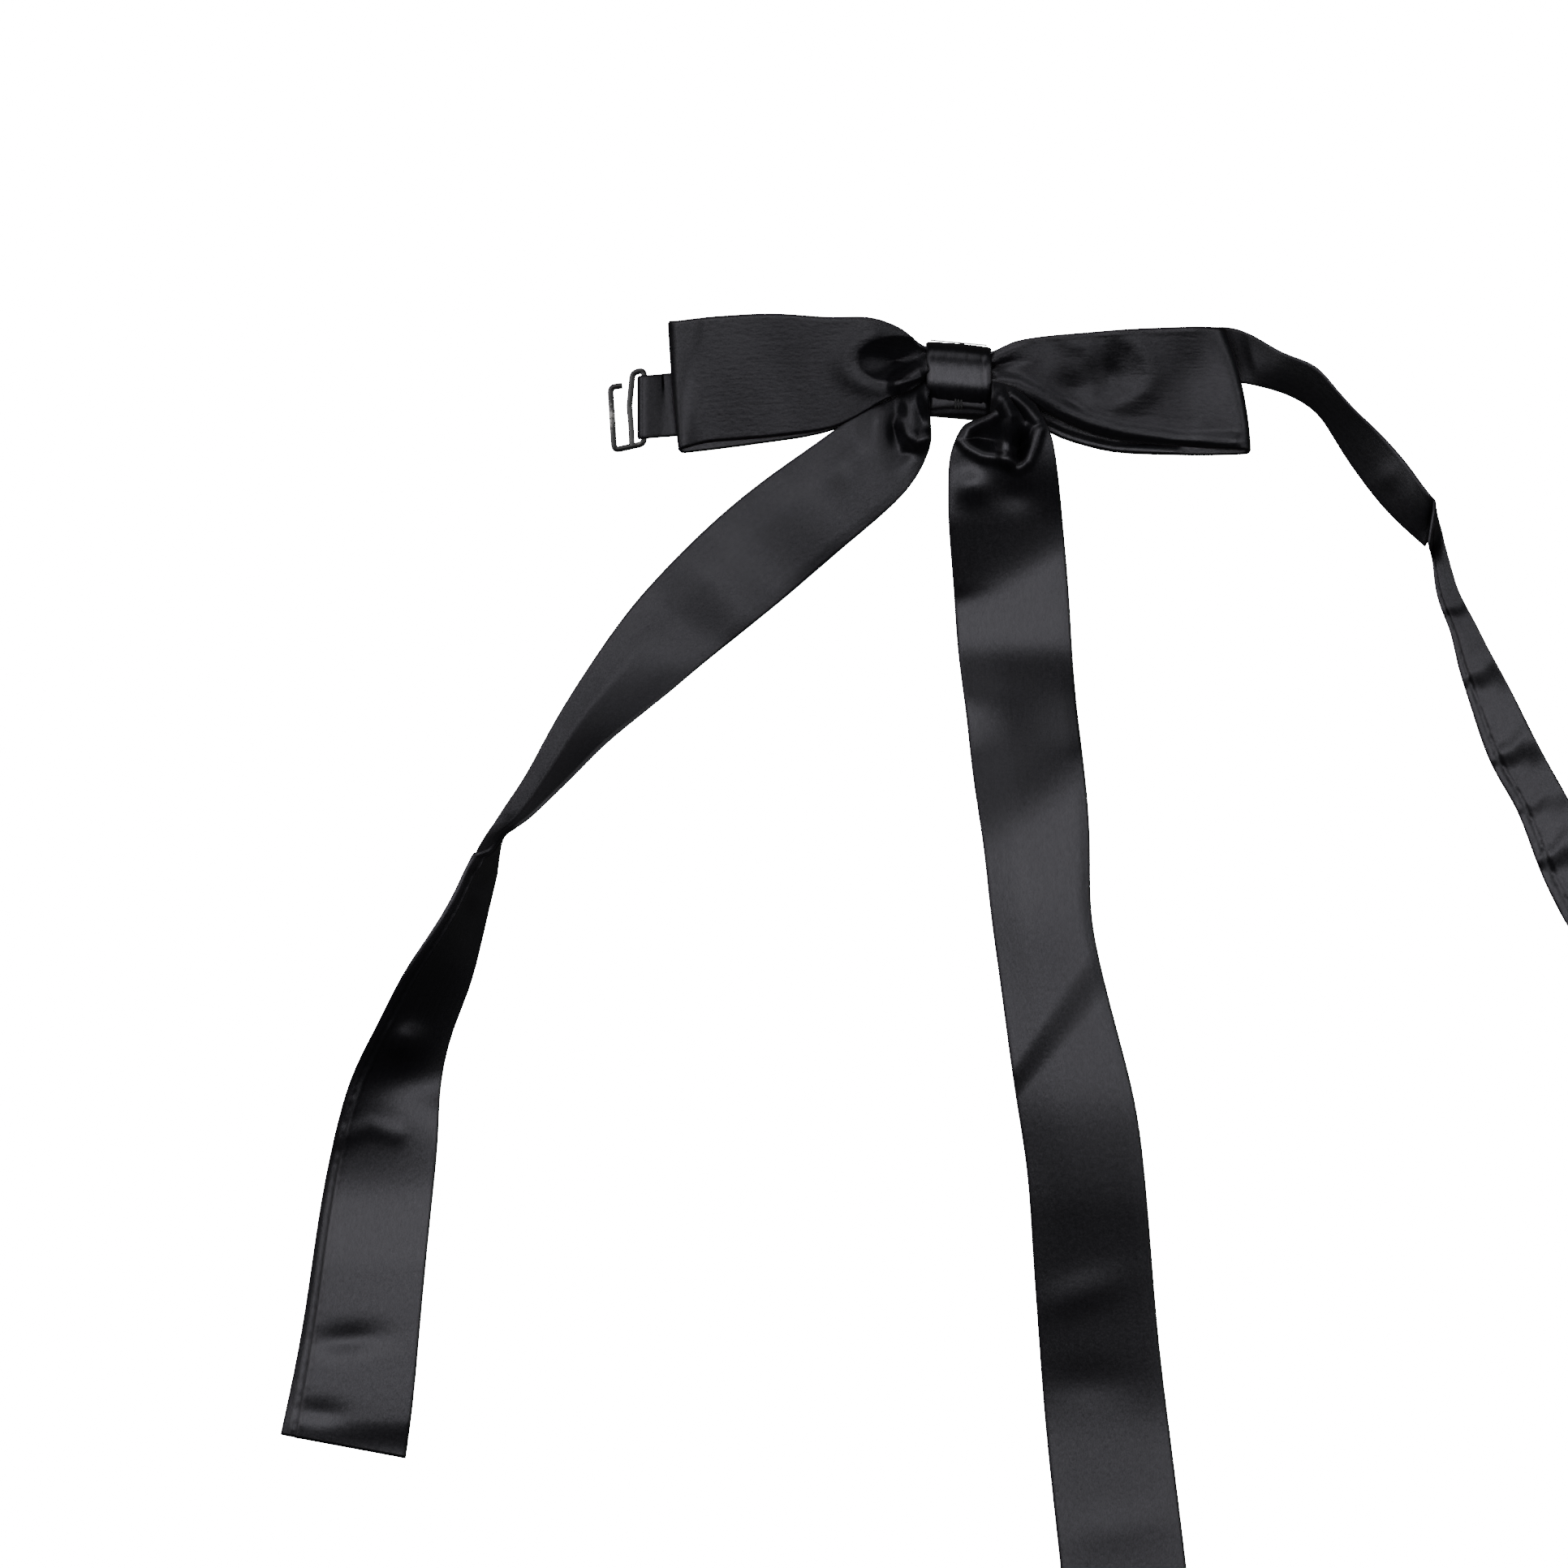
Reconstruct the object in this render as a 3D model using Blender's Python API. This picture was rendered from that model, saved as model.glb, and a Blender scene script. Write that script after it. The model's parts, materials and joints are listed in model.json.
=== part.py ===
"""A pre-tied ribbon bow tie with two long tails and an adjustable neck band, lying face up.

Frame: the table is z = 0 and the front of the bow faces +Z. The origin is under the middle of the
knot, on its flat back. +X runs along the bow, away from the hook, and the tails run towards -Y.
Every dimension below is in millimetres, and MM turns it into Blender's metres.
"""

import math

import bpy
from mathutils import Matrix, Vector

MM = 0.001

# Driving dimensions
RIBBON_THICK = 1.0  # bow ribbon: a satin tube pressed flat, two layers and an interlining
TAIL_THICK = 1.4  # the tails are the same tube, left softer
BAND_THICK = 0.8  # neck band
BAND_WIDTH = 15.5
BAND_KNOT_WIDTH = 14.0  # gathered a little inside the knot
BAND_HOOK_WIDTH = 17.2  # the band is wider where it is folded round the hook
GAP = 0.3  # between pieces that touch

KNOT_HALF_LENGTH = 9.2
KNOT_HALF_HEIGHT = 10.5
KNOT_DEPTH = 16.0
KNOT_WALL = 1.0
KNOT_CORNER = 5.0
KNOT_FOOT = 2.2  # corner radius next to the table
KNOT_SLOPE = -0.09  # the knot sits a little askew on the bow

WIRE_RADIUS = 0.85  # hook
HOOK_BAR = Vector((-87.2, -6.4, BAND_THICK + GAP + WIRE_RADIUS))  # middle of the bar in the fold
HOOK_TILT = 0.115  # the hook's free arm rests on the table

RUN_X = 184.0  # the band's straight end, where it is doubled back
RUN_TOP = -168.0
SLIDER_Y = -232.0
RING_Y = -290.0
BAR_RADIUS = 0.75  # slider's middle bar
BAR_HEIGHT = BAND_THICK + GAP + BAR_RADIUS
RUN_HEIGHT = 2 * (BAR_HEIGHT + GAP / 2) + BAND_THICK / 2 + GAP  # middle of the band's upper run
RING_WIRE = 0.8
RING_BAR_HEIGHT = BAND_THICK + GAP + RING_WIRE
RING_HALF_WIDTH = 9.6
RING_LENGTH = 10.0
BIGHT_START = -280.0  # the bend round the ring starts here, clear of the slider's travel
RETURN_START = SLIDER_Y - 15.0

TAIL_LEFT_HINGE = ((-49, -24), (-31, -44))  # the lines where the tails fold up
TAIL_RIGHT_HINGE = ((-2, -45), (29, -43))
BAND_HINGE_X = 84.0


# ---------------------------------------------------------------- shapes


def smooth(points, count):
    """count points along a Catmull-Rom curve through points, which are tuples of any length."""
    last = len(points) - 1
    found = []
    for i in range(count):
        place = last * i / (count - 1)
        k = min(int(place), last - 1)
        t = place - k
        before, a, b, after = (points[min(max(k + d, 0), last)] for d in (-1, 0, 1, 2))
        found.append(
            tuple(
                q + 0.5 * t * (r - p + t * (2 * p - 5 * q + 4 * r - s + t * (3 * (q - r) + s - p)))
                for p, q, r, s in zip(before, a, b, after)
            )
        )
    return found


def satin():
    return material("black_satin", (0.012, 0.012, 0.015), 0.42, 0.0)


def material(name, colour, roughness, metallic):
    found = bpy.data.materials.get(name)
    if found:
        return found
    made = bpy.data.materials.new(name)
    made.use_nodes = True
    shader = made.node_tree.nodes["Principled BSDF"]
    shader.inputs["Base Color"].default_value = (*colour, 1)
    shader.inputs["Roughness"].default_value = roughness
    shader.inputs["Metallic"].default_value = metallic
    return made


def place(mesh_object, finish):
    mesh_object.data.materials.append(finish)
    if mesh_object.name not in bpy.context.scene.collection.objects:
        bpy.context.scene.collection.objects.link(mesh_object)
    return mesh_object


def mesh_from(name, points, faces, finish):
    mesh = bpy.data.meshes.new(name)
    mesh.from_pydata([Vector(p) * MM for p in points], [], faces)
    mesh.shade_smooth()
    mesh.set_sharp_from_angle(angle=math.radians(40))
    return place(bpy.data.objects.new(name, mesh), finish)


def sheet(name, grid, thickness, finish):
    """A cloth of even thickness round a grid of points, rows along it and columns across."""
    rows, columns = len(grid), len(grid[0])
    grid = [[Vector(p) for p in row] for row in grid]
    above, below = [], []
    for i in range(rows):
        for j in range(columns):
            along = grid[min(i + 1, rows - 1)][j] - grid[max(i - 1, 0)][j]
            across = grid[i][min(j + 1, columns - 1)] - grid[i][max(j - 1, 0)]
            out = across.cross(along).normalized() * thickness / 2
            above.append(grid[i][j] + out)
            below.append(grid[i][j] - out)
    faces = []
    shift = rows * columns
    for i in range(rows - 1):
        for j in range(columns - 1):
            a, b = i * columns + j, (i + 1) * columns + j
            faces.append((a, a + 1, b + 1, b))
            faces.append((a + shift, b + shift, b + 1 + shift, a + 1 + shift))
    rim = [j for j in range(columns)]
    rim += [i * columns + columns - 1 for i in range(1, rows)]
    rim += [(rows - 1) * columns + j for j in range(columns - 2, -1, -1)]
    rim += [i * columns for i in range(rows - 2, 0, -1)]
    for k, a in enumerate(rim):
        b = rim[(k + 1) % len(rim)]
        faces.append((b, a, a + shift, b + shift))
    return mesh_from(name, above + below, faces, finish)


def ruled(first_edge, second_edge, rows, columns, crown=0.0):
    """A grid between two edge curves; crown raises its middle."""
    edges = zip(smooth(first_edge, rows), smooth(second_edge, rows))
    grid = []
    for a, b in edges:
        a, b = Vector(a), Vector(b)
        row = []
        for j in range(columns):
            v = j / (columns - 1)
            row.append(a.lerp(b, v) + Vector((0, 0, crown * 4 * v * (1 - v))))
        grid.append(row)
    return grid


def laid(stations, rows, columns):
    """A grid for a ribbon lying on the table, from (x, y, width, height, turn, strip) along it.

    turn is the angle in degrees that the ribbon has rolled over its first edge, so 180 shows its
    back. strip is the share of its width, at the second edge, that stays face up.
    """
    samples = smooth(stations, rows)
    grid = []
    for i, (x, y, width, height, turn, strip) in enumerate(samples):
        ahead, behind = samples[min(i + 1, rows - 1)], samples[max(i - 1, 0)]
        travel = Vector((ahead[0] - behind[0], ahead[1] - behind[1], 0)).normalized()
        across = Vector((-travel.y, travel.x, 0))
        a, z, section = 0.0, 0.0, [(0.0, 0.0)]
        for j in range(1, columns):
            v = (j - 0.5) / (columns - 1)
            flip = 1.0 if v < 1 - strip else 0.0
            angle = math.radians(turn * flip)
            a += math.cos(angle) * width / (columns - 1)
            z += math.sin(angle) * width / (columns - 1)
            section.append((a, z))
        middle = (max(s[0] for s in section) + min(s[0] for s in section)) / 2
        lowest = min(s[1] for s in section)
        grid.append(
            [
                Vector((x, y, 0)) + across * (a - middle) + Vector((0, 0, height + z - lowest))
                for a, z in section
            ]
        )
    return grid


def strip_grid(path, columns=2):
    """A grid for a band that keeps its width level, from (x, y, z, half width, slope) points.

    slope is how far x moves for each step in y across the band.
    """
    grid = []
    for x, y, z, half, slope in path:
        reach = Vector((slope, 1, 0)).normalized() * half
        edge = Vector((x, y, z))
        grid.append([edge + reach * (1 - 2 * j / (columns - 1)) for j in range(columns)])
    return grid


def arc(centre, radius, start, end, steps):
    """(along, height) points of an arc, with angles in degrees."""
    for k in range(steps + 1):
        angle = math.radians(start + (end - start) * k / steps)
        yield centre[0] + radius * math.cos(angle), centre[1] + radius * math.sin(angle)


def tube(name, points, radius, finish, cyclic=False, sides=2):
    """A round wire or thread through the points."""
    curve = bpy.data.curves.new(name, "CURVE")
    curve.dimensions = "3D"
    curve.bevel_depth = radius * MM
    curve.bevel_resolution = sides
    curve.use_fill_caps = True
    spline = curve.splines.new("POLY")
    spline.points.add(len(points) - 1)
    for spot, p in zip(spline.points, points):
        spot.co = (*(Vector(p) * MM), 1)
    spline.use_cyclic_u = cyclic
    return place(bpy.data.objects.new(name, curve), finish)


def as_mesh(curve_object):
    """The same object as a mesh, which a Boolean can read."""
    graph = bpy.context.evaluated_depsgraph_get()
    mesh = bpy.data.meshes.new_from_object(curve_object.evaluated_get(graph))
    name, finish = curve_object.name, curve_object.data.materials[0]
    bpy.data.objects.remove(curve_object)
    mesh.materials.clear()
    made = bpy.data.objects.new(name, mesh)
    place(made, finish)
    weld = made.modifiers.new("weld", "WELD")
    weld.merge_threshold = 0.00001
    return made


def helper(shape):
    """A shape that only joins another one, so it isn't a piece of its own."""
    shape.hide_render = True
    shape.display_type = "WIRE"
    return shape


def join(base, *others):
    for other in others:
        union = base.modifiers.new("join_" + other.name, "BOOLEAN")
        union.operation = "UNION"
        union.object = helper(other)
    return base


def box(name, low, high, finish):
    corners = [
        (x, y, z) for x in (low[0], high[0]) for y in (low[1], high[1]) for z in (low[2], high[2])
    ]
    faces = [(0, 1, 3, 2), (4, 6, 7, 5), (0, 4, 5, 1), (2, 3, 7, 6), (0, 2, 6, 4), (1, 5, 7, 3)]
    return mesh_from(name, corners, faces, finish)


def lofted(name, rings, finish):
    """A solid through closed rings of equal length, with its ends filled."""
    count = len(rings[0])
    points = [p for ring in rings for p in ring]
    faces = [tuple(range(count - 1, -1, -1))]
    for i in range(len(rings) - 1):
        for k in range(count):
            a, b = i * count + k, i * count + (k + 1) % count
            faces.append((a, b, b + count, a + count))
    faces.append(tuple((len(rings) - 1) * count + k for k in range(count)))
    return mesh_from(name, points, faces, finish)


def rounded_ring(x, half_y, low, high, inset=0.0, steps=5):
    """A rounded rectangle across the knot, at x, as points anticlockwise seen from +X."""
    ring = []
    for quarter, (sy, top) in enumerate(((1, True), (-1, True), (-1, False), (1, False))):
        corner = (KNOT_CORNER if top else KNOT_FOOT) - inset
        centre_y = sy * (half_y - inset - corner)
        centre_z = high - inset - corner if top else low + inset + corner
        for y, z in arc((centre_y, centre_z), corner, 90 * quarter, 90 * quarter + 90, steps):
            ring.append((x, y + KNOT_SLOPE * x, z))
    return ring


# ---------------------------------------------------------------- the knot


def knot_band():
    """The strip wrapped round the middle: a rounded sleeve, open at both ends."""
    outer, inner = [], []
    for x in (-KNOT_HALF_LENGTH, KNOT_HALF_LENGTH):
        outer.append(rounded_ring(x, KNOT_HALF_HEIGHT, 0, KNOT_DEPTH))
        inner.append(rounded_ring(x, KNOT_HALF_HEIGHT, 0, KNOT_DEPTH, KNOT_WALL))
    count = len(outer[0])
    points = outer[0] + outer[1] + inner[0] + inner[1]
    faces = []
    for k in range(count):
        n = (k + 1) % count
        faces.append((k, n, n + count, k + count))
        faces.append((k + 2 * count, k + 3 * count, n + 3 * count, n + 2 * count))
        faces.append((k, k + 2 * count, n + 2 * count, n))
        faces.append((k + count, n + count, n + 3 * count, k + 3 * count))
    mesh_from("knot_band", points, faces, satin())


def gathered_core(name, middle, half_depth, waist_depth):
    """The pinched centre of a ribbon inside the knot, with a waist where the thread holds it."""
    rings = []
    profile = [(-9.0, 8.2, half_depth), (-4.0, 7.8, half_depth), (-1.8, 6.8, waist_depth)]
    profile += [(-x, y, z) for x, y, z in reversed(profile)]
    for x, half_y, half_z in profile:
        ring = []
        for k in range(16):
            angle = 2 * math.pi * k / 16
            y, z = math.cos(angle), math.sin(angle)
            y, z = (math.copysign(abs(c) ** 0.6, c) for c in (y, z))
            ring.append((x, half_y * y + KNOT_SLOPE * x, middle + half_z * z))
        rings.append(ring)
    lofted(name, rings, satin())


def cinch_thread():
    """Three turns of thread pulled tight round both gathered centres."""
    turns, steps, half_y, low, high = 3, 16, 7.7, 2.7, 13.7
    points = []
    for k in range(turns * steps + 1):
        angle = 2 * math.pi * k / steps
        y, z = (math.copysign(abs(c) ** 0.35, c) for c in (math.cos(angle), math.sin(angle)))
        x = -1.2 + 2.4 * k / (turns * steps)
        points.append((x, half_y * y, (low + high) / 2 + (high - low) / 2 * z))
    tube("cinch_thread", points, 0.3, thread())


def thread():
    return material("black_thread", (0.010, 0.010, 0.011), 0.7, 0.0)


def running_stitch(name, start, end, height, radius=0.2, stitches=7, swing=0.5):
    """A thread that zigzags from start to end, level, on top of the cloth that it holds."""
    start, end = Vector((*start, height)), Vector((*end, height))
    side = (end - start).cross(Vector((0, 0, 1))).normalized() * swing
    points = []
    for k in range(2 * stitches + 1):
        points.append(start.lerp(end, k / (2 * stitches)) + side * (1 if k % 2 else -1))
    tube(name, points, radius, thread(), sides=1)


def knot_stitch():
    """The hand stitches that close the knot band, low on its upper side."""
    reach = KNOT_HALF_LENGTH - 1.5
    y = KNOT_HALF_HEIGHT + GAP + 0.25
    points = []
    for k in range(15):
        x = -reach + 2 * reach * k / 14
        points.append((x, y + KNOT_SLOPE * x, 6.4 + (0.6 if k % 2 else -0.6)))
    tube("knot_stitch", points, 0.2, thread(), sides=1)


# ---------------------------------------------------------------- the bow


def wing(name, top_edge, bottom_edge):
    """One loop of the bow: out along the front, round the outer fold, back underneath."""
    sheet(name, ruled(top_edge, bottom_edge, 40, 6), RIBBON_THICK, satin())


def wings():
    wing(
        "wing_left",
        [
            (-9.7, 10.3, 12.0), (-17, 15.2, 12.5), (-27, 17.8, 11.5), (-45, 18.6, 10.0),
            (-65, 18.0, 8.2), (-77, 17.2, 7.2), (-80.0, 17.1, 5.4), (-77, 17.1, 3.6),
            (-65, 17.5, 3.5), (-45, 17.0, 3.7), (-27, 14.0, 4.6), (-17, 10.5, 6.0),
            (-9.7, 8.5, 7.8),
        ],
        [
            (-9.7, 1.8, 12.0), (-17, -3.0, 12.0), (-27, -8.5, 11.0), (-43, -13.5, 9.2),
            (-61, -17.0, 7.4), (-72.8, -19.0, 6.8), (-75.7, -19.4, 5.2), (-72.8, -19.6, 3.6),
            (-61, -18.5, 3.5), (-43, -16.0, 3.7), (-27, -11.0, 4.8), (-17, -6.0, 6.2),
            (-9.7, -1.5, 7.8),
        ],
    )
    wing(
        "wing_right",
        [
            (9.7, 9.2, 11.5), (17, 12.0, 12.5), (27, 14.0, 12.0), (45, 15.4, 10.5),
            (62, 15.8, 9.0), (72.5, 15.6, 7.6), (75.5, 15.5, 5.6), (72.5, 15.5, 3.6),
            (62, 15.5, 3.5), (45, 15.0, 3.7), (27, 12.0, 4.8), (17, 9.5, 6.2), (9.7, 8.0, 8.0),
        ][::-1],
        [
            (9.7, -0.5, 11.5), (17, -3.0, 12.5), (26, -7.0, 12.5), (40, -14.2, 11.0),
            (58, -17.6, 9.0), (77.6, -18.8, 7.4), (80.7, -19.2, 5.4), (77.6, -19.6, 3.6),
            (60, -20.2, 3.5), (44, -18.6, 3.7), (29, -14.0, 4.8), (20, -8.0, 6.2),
            (9.7, -2.5, 8.0),
        ][::-1],
    )


# ---------------------------------------------------------------- the tails


def tail_roots():
    """The tails where they leave the knot, up to the lines that they fold on."""
    height = TAIL_THICK / 2
    left_first, left_second = TAIL_LEFT_HINGE
    right_first, right_second = TAIL_RIGHT_HINGE
    sheet(
        "tail_left_root",
        ruled(
            [(-10.2, 0.8, 4.2), (-18, -4, 4.0), (-30, -10, 2.6), (*left_first, height)],
            [(-10.2, -7.5, 4.2), (-10, -12, 3.6), (-14, -29, 1.2), (*left_second, height)],
            14,
            6,
        ),
        TAIL_THICK,
        satin(),
    )
    sheet(
        "tail_right_root",
        ruled(
            [(10.4, -8, 4.2), (10.4, -13.0, 3.2), (0.5, -24, 1.4), (*right_first, height)],
            [(10.4, 1, 4.2), (22, -7, 3.6), (27, -22, 1.4), (*right_second, height)],
            14,
            6,
        ),
        TAIL_THICK,
        satin(),
    )


def tails():
    """The free lengths of the tails. The left one rolls over half way down and shows its back."""
    low = TAIL_THICK / 2
    gap = 0.4  # from the fold line
    sheet(
        "tail_left",
        laid(
            [
                (-40 - gap, -34 - gap, 27, low, 0, 0), (-58, -50, 28, low, 0, 0),
                (-75, -65, 28, low, 0, 0), (-91, -81, 29, low, 22, 0),
                (-104, -97, 30, low, 48, 0), (-118, -113, 31, low, 66, 0.12),
                (-130, -127, 32, low, 90, 0.14), (-136, -144, 32, low, 116, 0.14),
                (-144, -163, 33, low, 138, 0.14), (-152, -183, 33, low, 160, 0.12),
                (-158, -210, 33, low, 180, 0), (-163, -238, 33.5, low, 180, 0),
                (-167, -266, 34, low, 180, 0), (-171, -295, 35.5, low, 180, 0),
            ],
            72,
            10,
        ),
        TAIL_THICK,
        satin(),
    )
    sheet(
        "tail_right",
        laid(
            [
                (13.5, -44 - gap, 31, low, 0, 0), (15.5, -74, 31, low, 0, 0),
                (19.5, -110, 31, low, 0, 0), (22, -146, 30, low, 0, 0),
                (28.5, -182, 31, low, 0, 0), (34.5, -218, 32, low, 0, 0),
                (37.5, -254, 33, low, 0, 0), (41.5, -290, 34, low, 0, 0),
                (45.5, -326, 35, low, 0, 0), (48.5, -353, 35.5, low, 0, 0),
            ],
            40,
            5,
        ),
        TAIL_THICK,
        satin(),
    )


# ---------------------------------------------------------------- the neck band


def band_centre(x):
    """The y of the neck band's centre line behind the bow."""
    return -6.4 + 12.0 * (x + 84) / 168 if x > -84 else -6.4


def band_inner():
    """The band behind the bow, from its end folded round the hook's bar to the right-hand wing."""
    half = BAND_THICK / 2
    bar = (HOOK_BAR.x, HOOK_BAR.z)
    path = [(-72.5, half), (-80, half)]
    path += list(arc(bar, HOOK_BAR.z - half, -90, -270, 8))
    path += [(-84.5, 2.7), (-81.5, 1.75), (-76, 1.5), (-70.5, 1.5), (-66, 0.7), (-62, half)]
    path += [(-40, half), (-22, half), (-16, 0.9), (-11, 1.75), (11, 1.75), (16, 0.9)]
    path += [(22, half), (50, half), (BAND_HINGE_X - 0.2, half)]
    grid = []
    for x, z in path:
        share = min(max((-x - 60) / 20, 0), 1)
        width = BAND_WIDTH + (BAND_HOOK_WIDTH - BAND_WIDTH) * share
        if abs(x) < 20:
            width = BAND_KNOT_WIDTH
        slope = 0.44 * min(max((x - 60) / 24, 0), 1)
        grid.append((x, band_centre(x), z, width / 2, slope))
    sheet("neck_band_inner", strip_grid(grid, 2), BAND_THICK, satin())


def band_outer():
    """The band beyond the wing: one roll over, then the straight run that is doubled back."""
    low = BAND_THICK / 2
    sheet(
        "neck_band_outer",
        laid(
            [
                (BAND_HINGE_X + 0.4, 5.5, 15.5, low, 0, 0), (91, 2.6, 15, low, 0, 0),
                (98, -2.5, 14.5, low, 0, 0), (105, -11, 14.5, low, 0, 0),
                (112, -20, 14.5, low, 0, 0), (120, -28.5, 15, low, 0, 0),
                (127.5, -37, 15.5, low, 25, 0), (132, -45.5, 15.5, low, 85, 0.15),
                (134.5, -54, 15.5, low, 125, 0.15), (138.5, -66, 15.5, low, 150, 0.12),
                (144.5, -82, 15.5, low, 170, 0), (152, -100, 15.5, low, 180, 0),
                (161, -119, 15.5, low, 180, 0), (170, -138, 15.5, low, 180, 0),
                (176, -147, 15.5, 1.1, 180, 0), (181.5, -156, 15.5, 3.2, 180, 0),
                (RUN_X, RUN_TOP + 5, BAND_WIDTH, RUN_HEIGHT, 180, 0),
                (RUN_X, RUN_TOP + 2.5, BAND_WIDTH, RUN_HEIGHT, 180, 0),
                (RUN_X, RUN_TOP, BAND_WIDTH, RUN_HEIGHT, 180, 0),
            ],
            90,
            8,
        ),
        BAND_THICK,
        satin(),
    )


def doubled_run(name, path):
    """A stretch of the doubled end, from (y, height) points."""
    rows = [(RUN_X, y, z) for y, z in path]
    half = Vector((BAND_WIDTH / 2, 0, 0))
    grid = [[Vector(p) - half, Vector(p) + half] for p in rows]
    sheet(name, grid, BAND_THICK, satin())


def band_runs():
    """The doubled end: the run to the ring, the bend round it, the run back and the sewn end."""
    low = BAND_THICK / 2
    doubled_run("band_run", [(RUN_TOP - GAP, RUN_HEIGHT), (BIGHT_START + GAP, RUN_HEIGHT)][::-1])
    bend = list(arc((RING_Y, RING_BAR_HEIGHT), RING_BAR_HEIGHT - low, 90, 270, 8))
    upper = [(BIGHT_START, RUN_HEIGHT), (-283.5, RUN_HEIGHT - 0.2), (-287, RUN_HEIGHT - 0.9)]
    doubled_run("band_bight", upper + bend + [(BIGHT_START - 1.5, low)])
    doubled_run("band_return", [(RETURN_START - GAP, low), (BIGHT_START - 1.2, low)])
    wrap = list(arc((SLIDER_Y, BAR_HEIGHT), BAR_HEIGHT - low, 90, -90, 8))
    sewn = [(SLIDER_Y - 13, 1.5), (SLIDER_Y - 7, 1.5), (SLIDER_Y - 3.5, 2.5)]
    doubled_run("slider_end_band", sewn + wrap + [(SLIDER_Y - 7, low), (RETURN_START, low)])


def end_stitches():
    reach = BAND_WIDTH / 2 - 1.5
    over = 1.5 + BAND_THICK / 2 + 0.25 + 0.2
    seam = SLIDER_Y - 10
    running_stitch("slider_end_stitch", (RUN_X - reach, seam), (RUN_X + reach, seam), over)
    centre = band_centre(-74.5)
    running_stitch("hook_end_stitch", (-74.5, centre - 7), (-74.5, centre + 7), over)


# ---------------------------------------------------------------- the metal


def enamel():
    return material("black_enamel", (0.015, 0.015, 0.016), 0.3, 0.6)


def rounded_path(corners, radius, cyclic=False, steps=4):
    """The corners' outline with each inner corner rounded by a curve."""
    count = len(corners)
    points = []
    for k, corner in enumerate(corners):
        corner = Vector(corner)
        if not cyclic and k in (0, count - 1):
            points.append(corner)
            continue
        before = Vector(corners[k - 1]) - corner
        after = Vector(corners[(k + 1) % count]) - corner
        a = corner + before.normalized() * min(radius, before.length * 0.45)
        b = corner + after.normalized() * min(radius, after.length * 0.45)
        for s in range(steps + 1):
            t = s / steps
            points.append(a.lerp(corner, t).lerp(corner.lerp(b, t), t))
    return points


def hook():
    """A wire hook: a narrow frame that the band is folded round, and an open arm for the ring."""

    def tilted(points):
        return [(x, y, HOOK_BAR.z + HOOK_TILT * (x - HOOK_BAR.x)) for x, y in points]

    arm = [(-93.3, -0.7), (-96.6, -1.1), (-95.5, -18.6), (-87.2, -16.8), (-87.2, 3.6)]
    arm += [(-90.4, 2.9), (-91.3, -6.5)]
    inner = [(-91.3, -6.4), (-90.8, -12.0), (-90.6, -17.6)]
    main = as_mesh(tube("hook", rounded_path(tilted(arm), 1.5), WIRE_RADIUS, enamel()))
    strut = as_mesh(tube("hook_strut", rounded_path(tilted(inner), 2.0), WIRE_RADIUS * 0.97, enamel()))
    join(main, strut)


def slider():
    """The adjuster: two rails, an outer bar at each end over the band, and a bar under it."""
    inner = BAND_WIDTH / 2 + 0.7
    outer = inner + 1.5
    reach, thick = 6.5, 1.4
    bottom, top = BAR_HEIGHT - BAR_RADIUS, RUN_HEIGHT + BAND_THICK / 2 + GAP + thick
    rails = [
        box(
            name,
            (RUN_X + min(side * inner, side * outer), SLIDER_Y - reach, bottom),
            (RUN_X + max(side * inner, side * outer), SLIDER_Y + reach, top),
            enamel(),
        )
        for name, side in (("slider", 1), ("slider_rail", -1))
    ]
    bars = [
        box(
            f"slider_bar_{end}",
            (RUN_X - outer + 0.2, SLIDER_Y + end * (reach - thick / 2) - thick / 2, top - thick),
            (RUN_X + outer - 0.2, SLIDER_Y + end * (reach - thick / 2) + thick / 2, top - 0.1),
            enamel(),
        )
        for end in (-1, 1)
    ]
    middle = as_mesh(
        tube(
            "slider_middle",
            [(RUN_X - outer + 0.3, SLIDER_Y, BAR_HEIGHT), (RUN_X + outer - 0.3, SLIDER_Y, BAR_HEIGHT)],
            BAR_RADIUS,
            enamel(),
        )
    )
    join(rails[0], rails[1], *bars, middle)
    bevel = rails[0].modifiers.new("soft_edges", "BEVEL")
    bevel.width = 0.3 * MM
    bevel.segments = 1
    bevel.limit_method = "ANGLE"
    bevel.angle_limit = math.radians(50)


def eye_ring():
    """The oblong ring that the hook takes, resting its far bar on the table."""
    drop = (RING_BAR_HEIGHT - RING_WIRE) / RING_LENGTH
    corners = []
    for x, along in ((-1, 0), (1, 0), (1, 1), (-1, 1)):
        y = RING_Y - along * RING_LENGTH
        corners.append((RUN_X + x * RING_HALF_WIDTH, y, RING_BAR_HEIGHT - along * drop * RING_LENGTH))
    ring = rounded_path(corners, 2.0, cyclic=True)
    tube("eye_ring", ring, RING_WIRE, enamel(), cyclic=True)


def middle(line, height):
    """The point halfway along a fold line."""
    (ax, ay), (bx, by) = line
    return Vector(((ax + bx) / 2, (ay + by) / 2, height))


def hang(pivot, *names):
    """Puts the origin of each named piece at a point on the axis that it moves on."""
    pivot = Vector(pivot) * MM
    for name in names:
        piece = bpy.data.objects[name]
        piece.data.transform(Matrix.Translation(-pivot))
        piece.location = pivot


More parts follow.
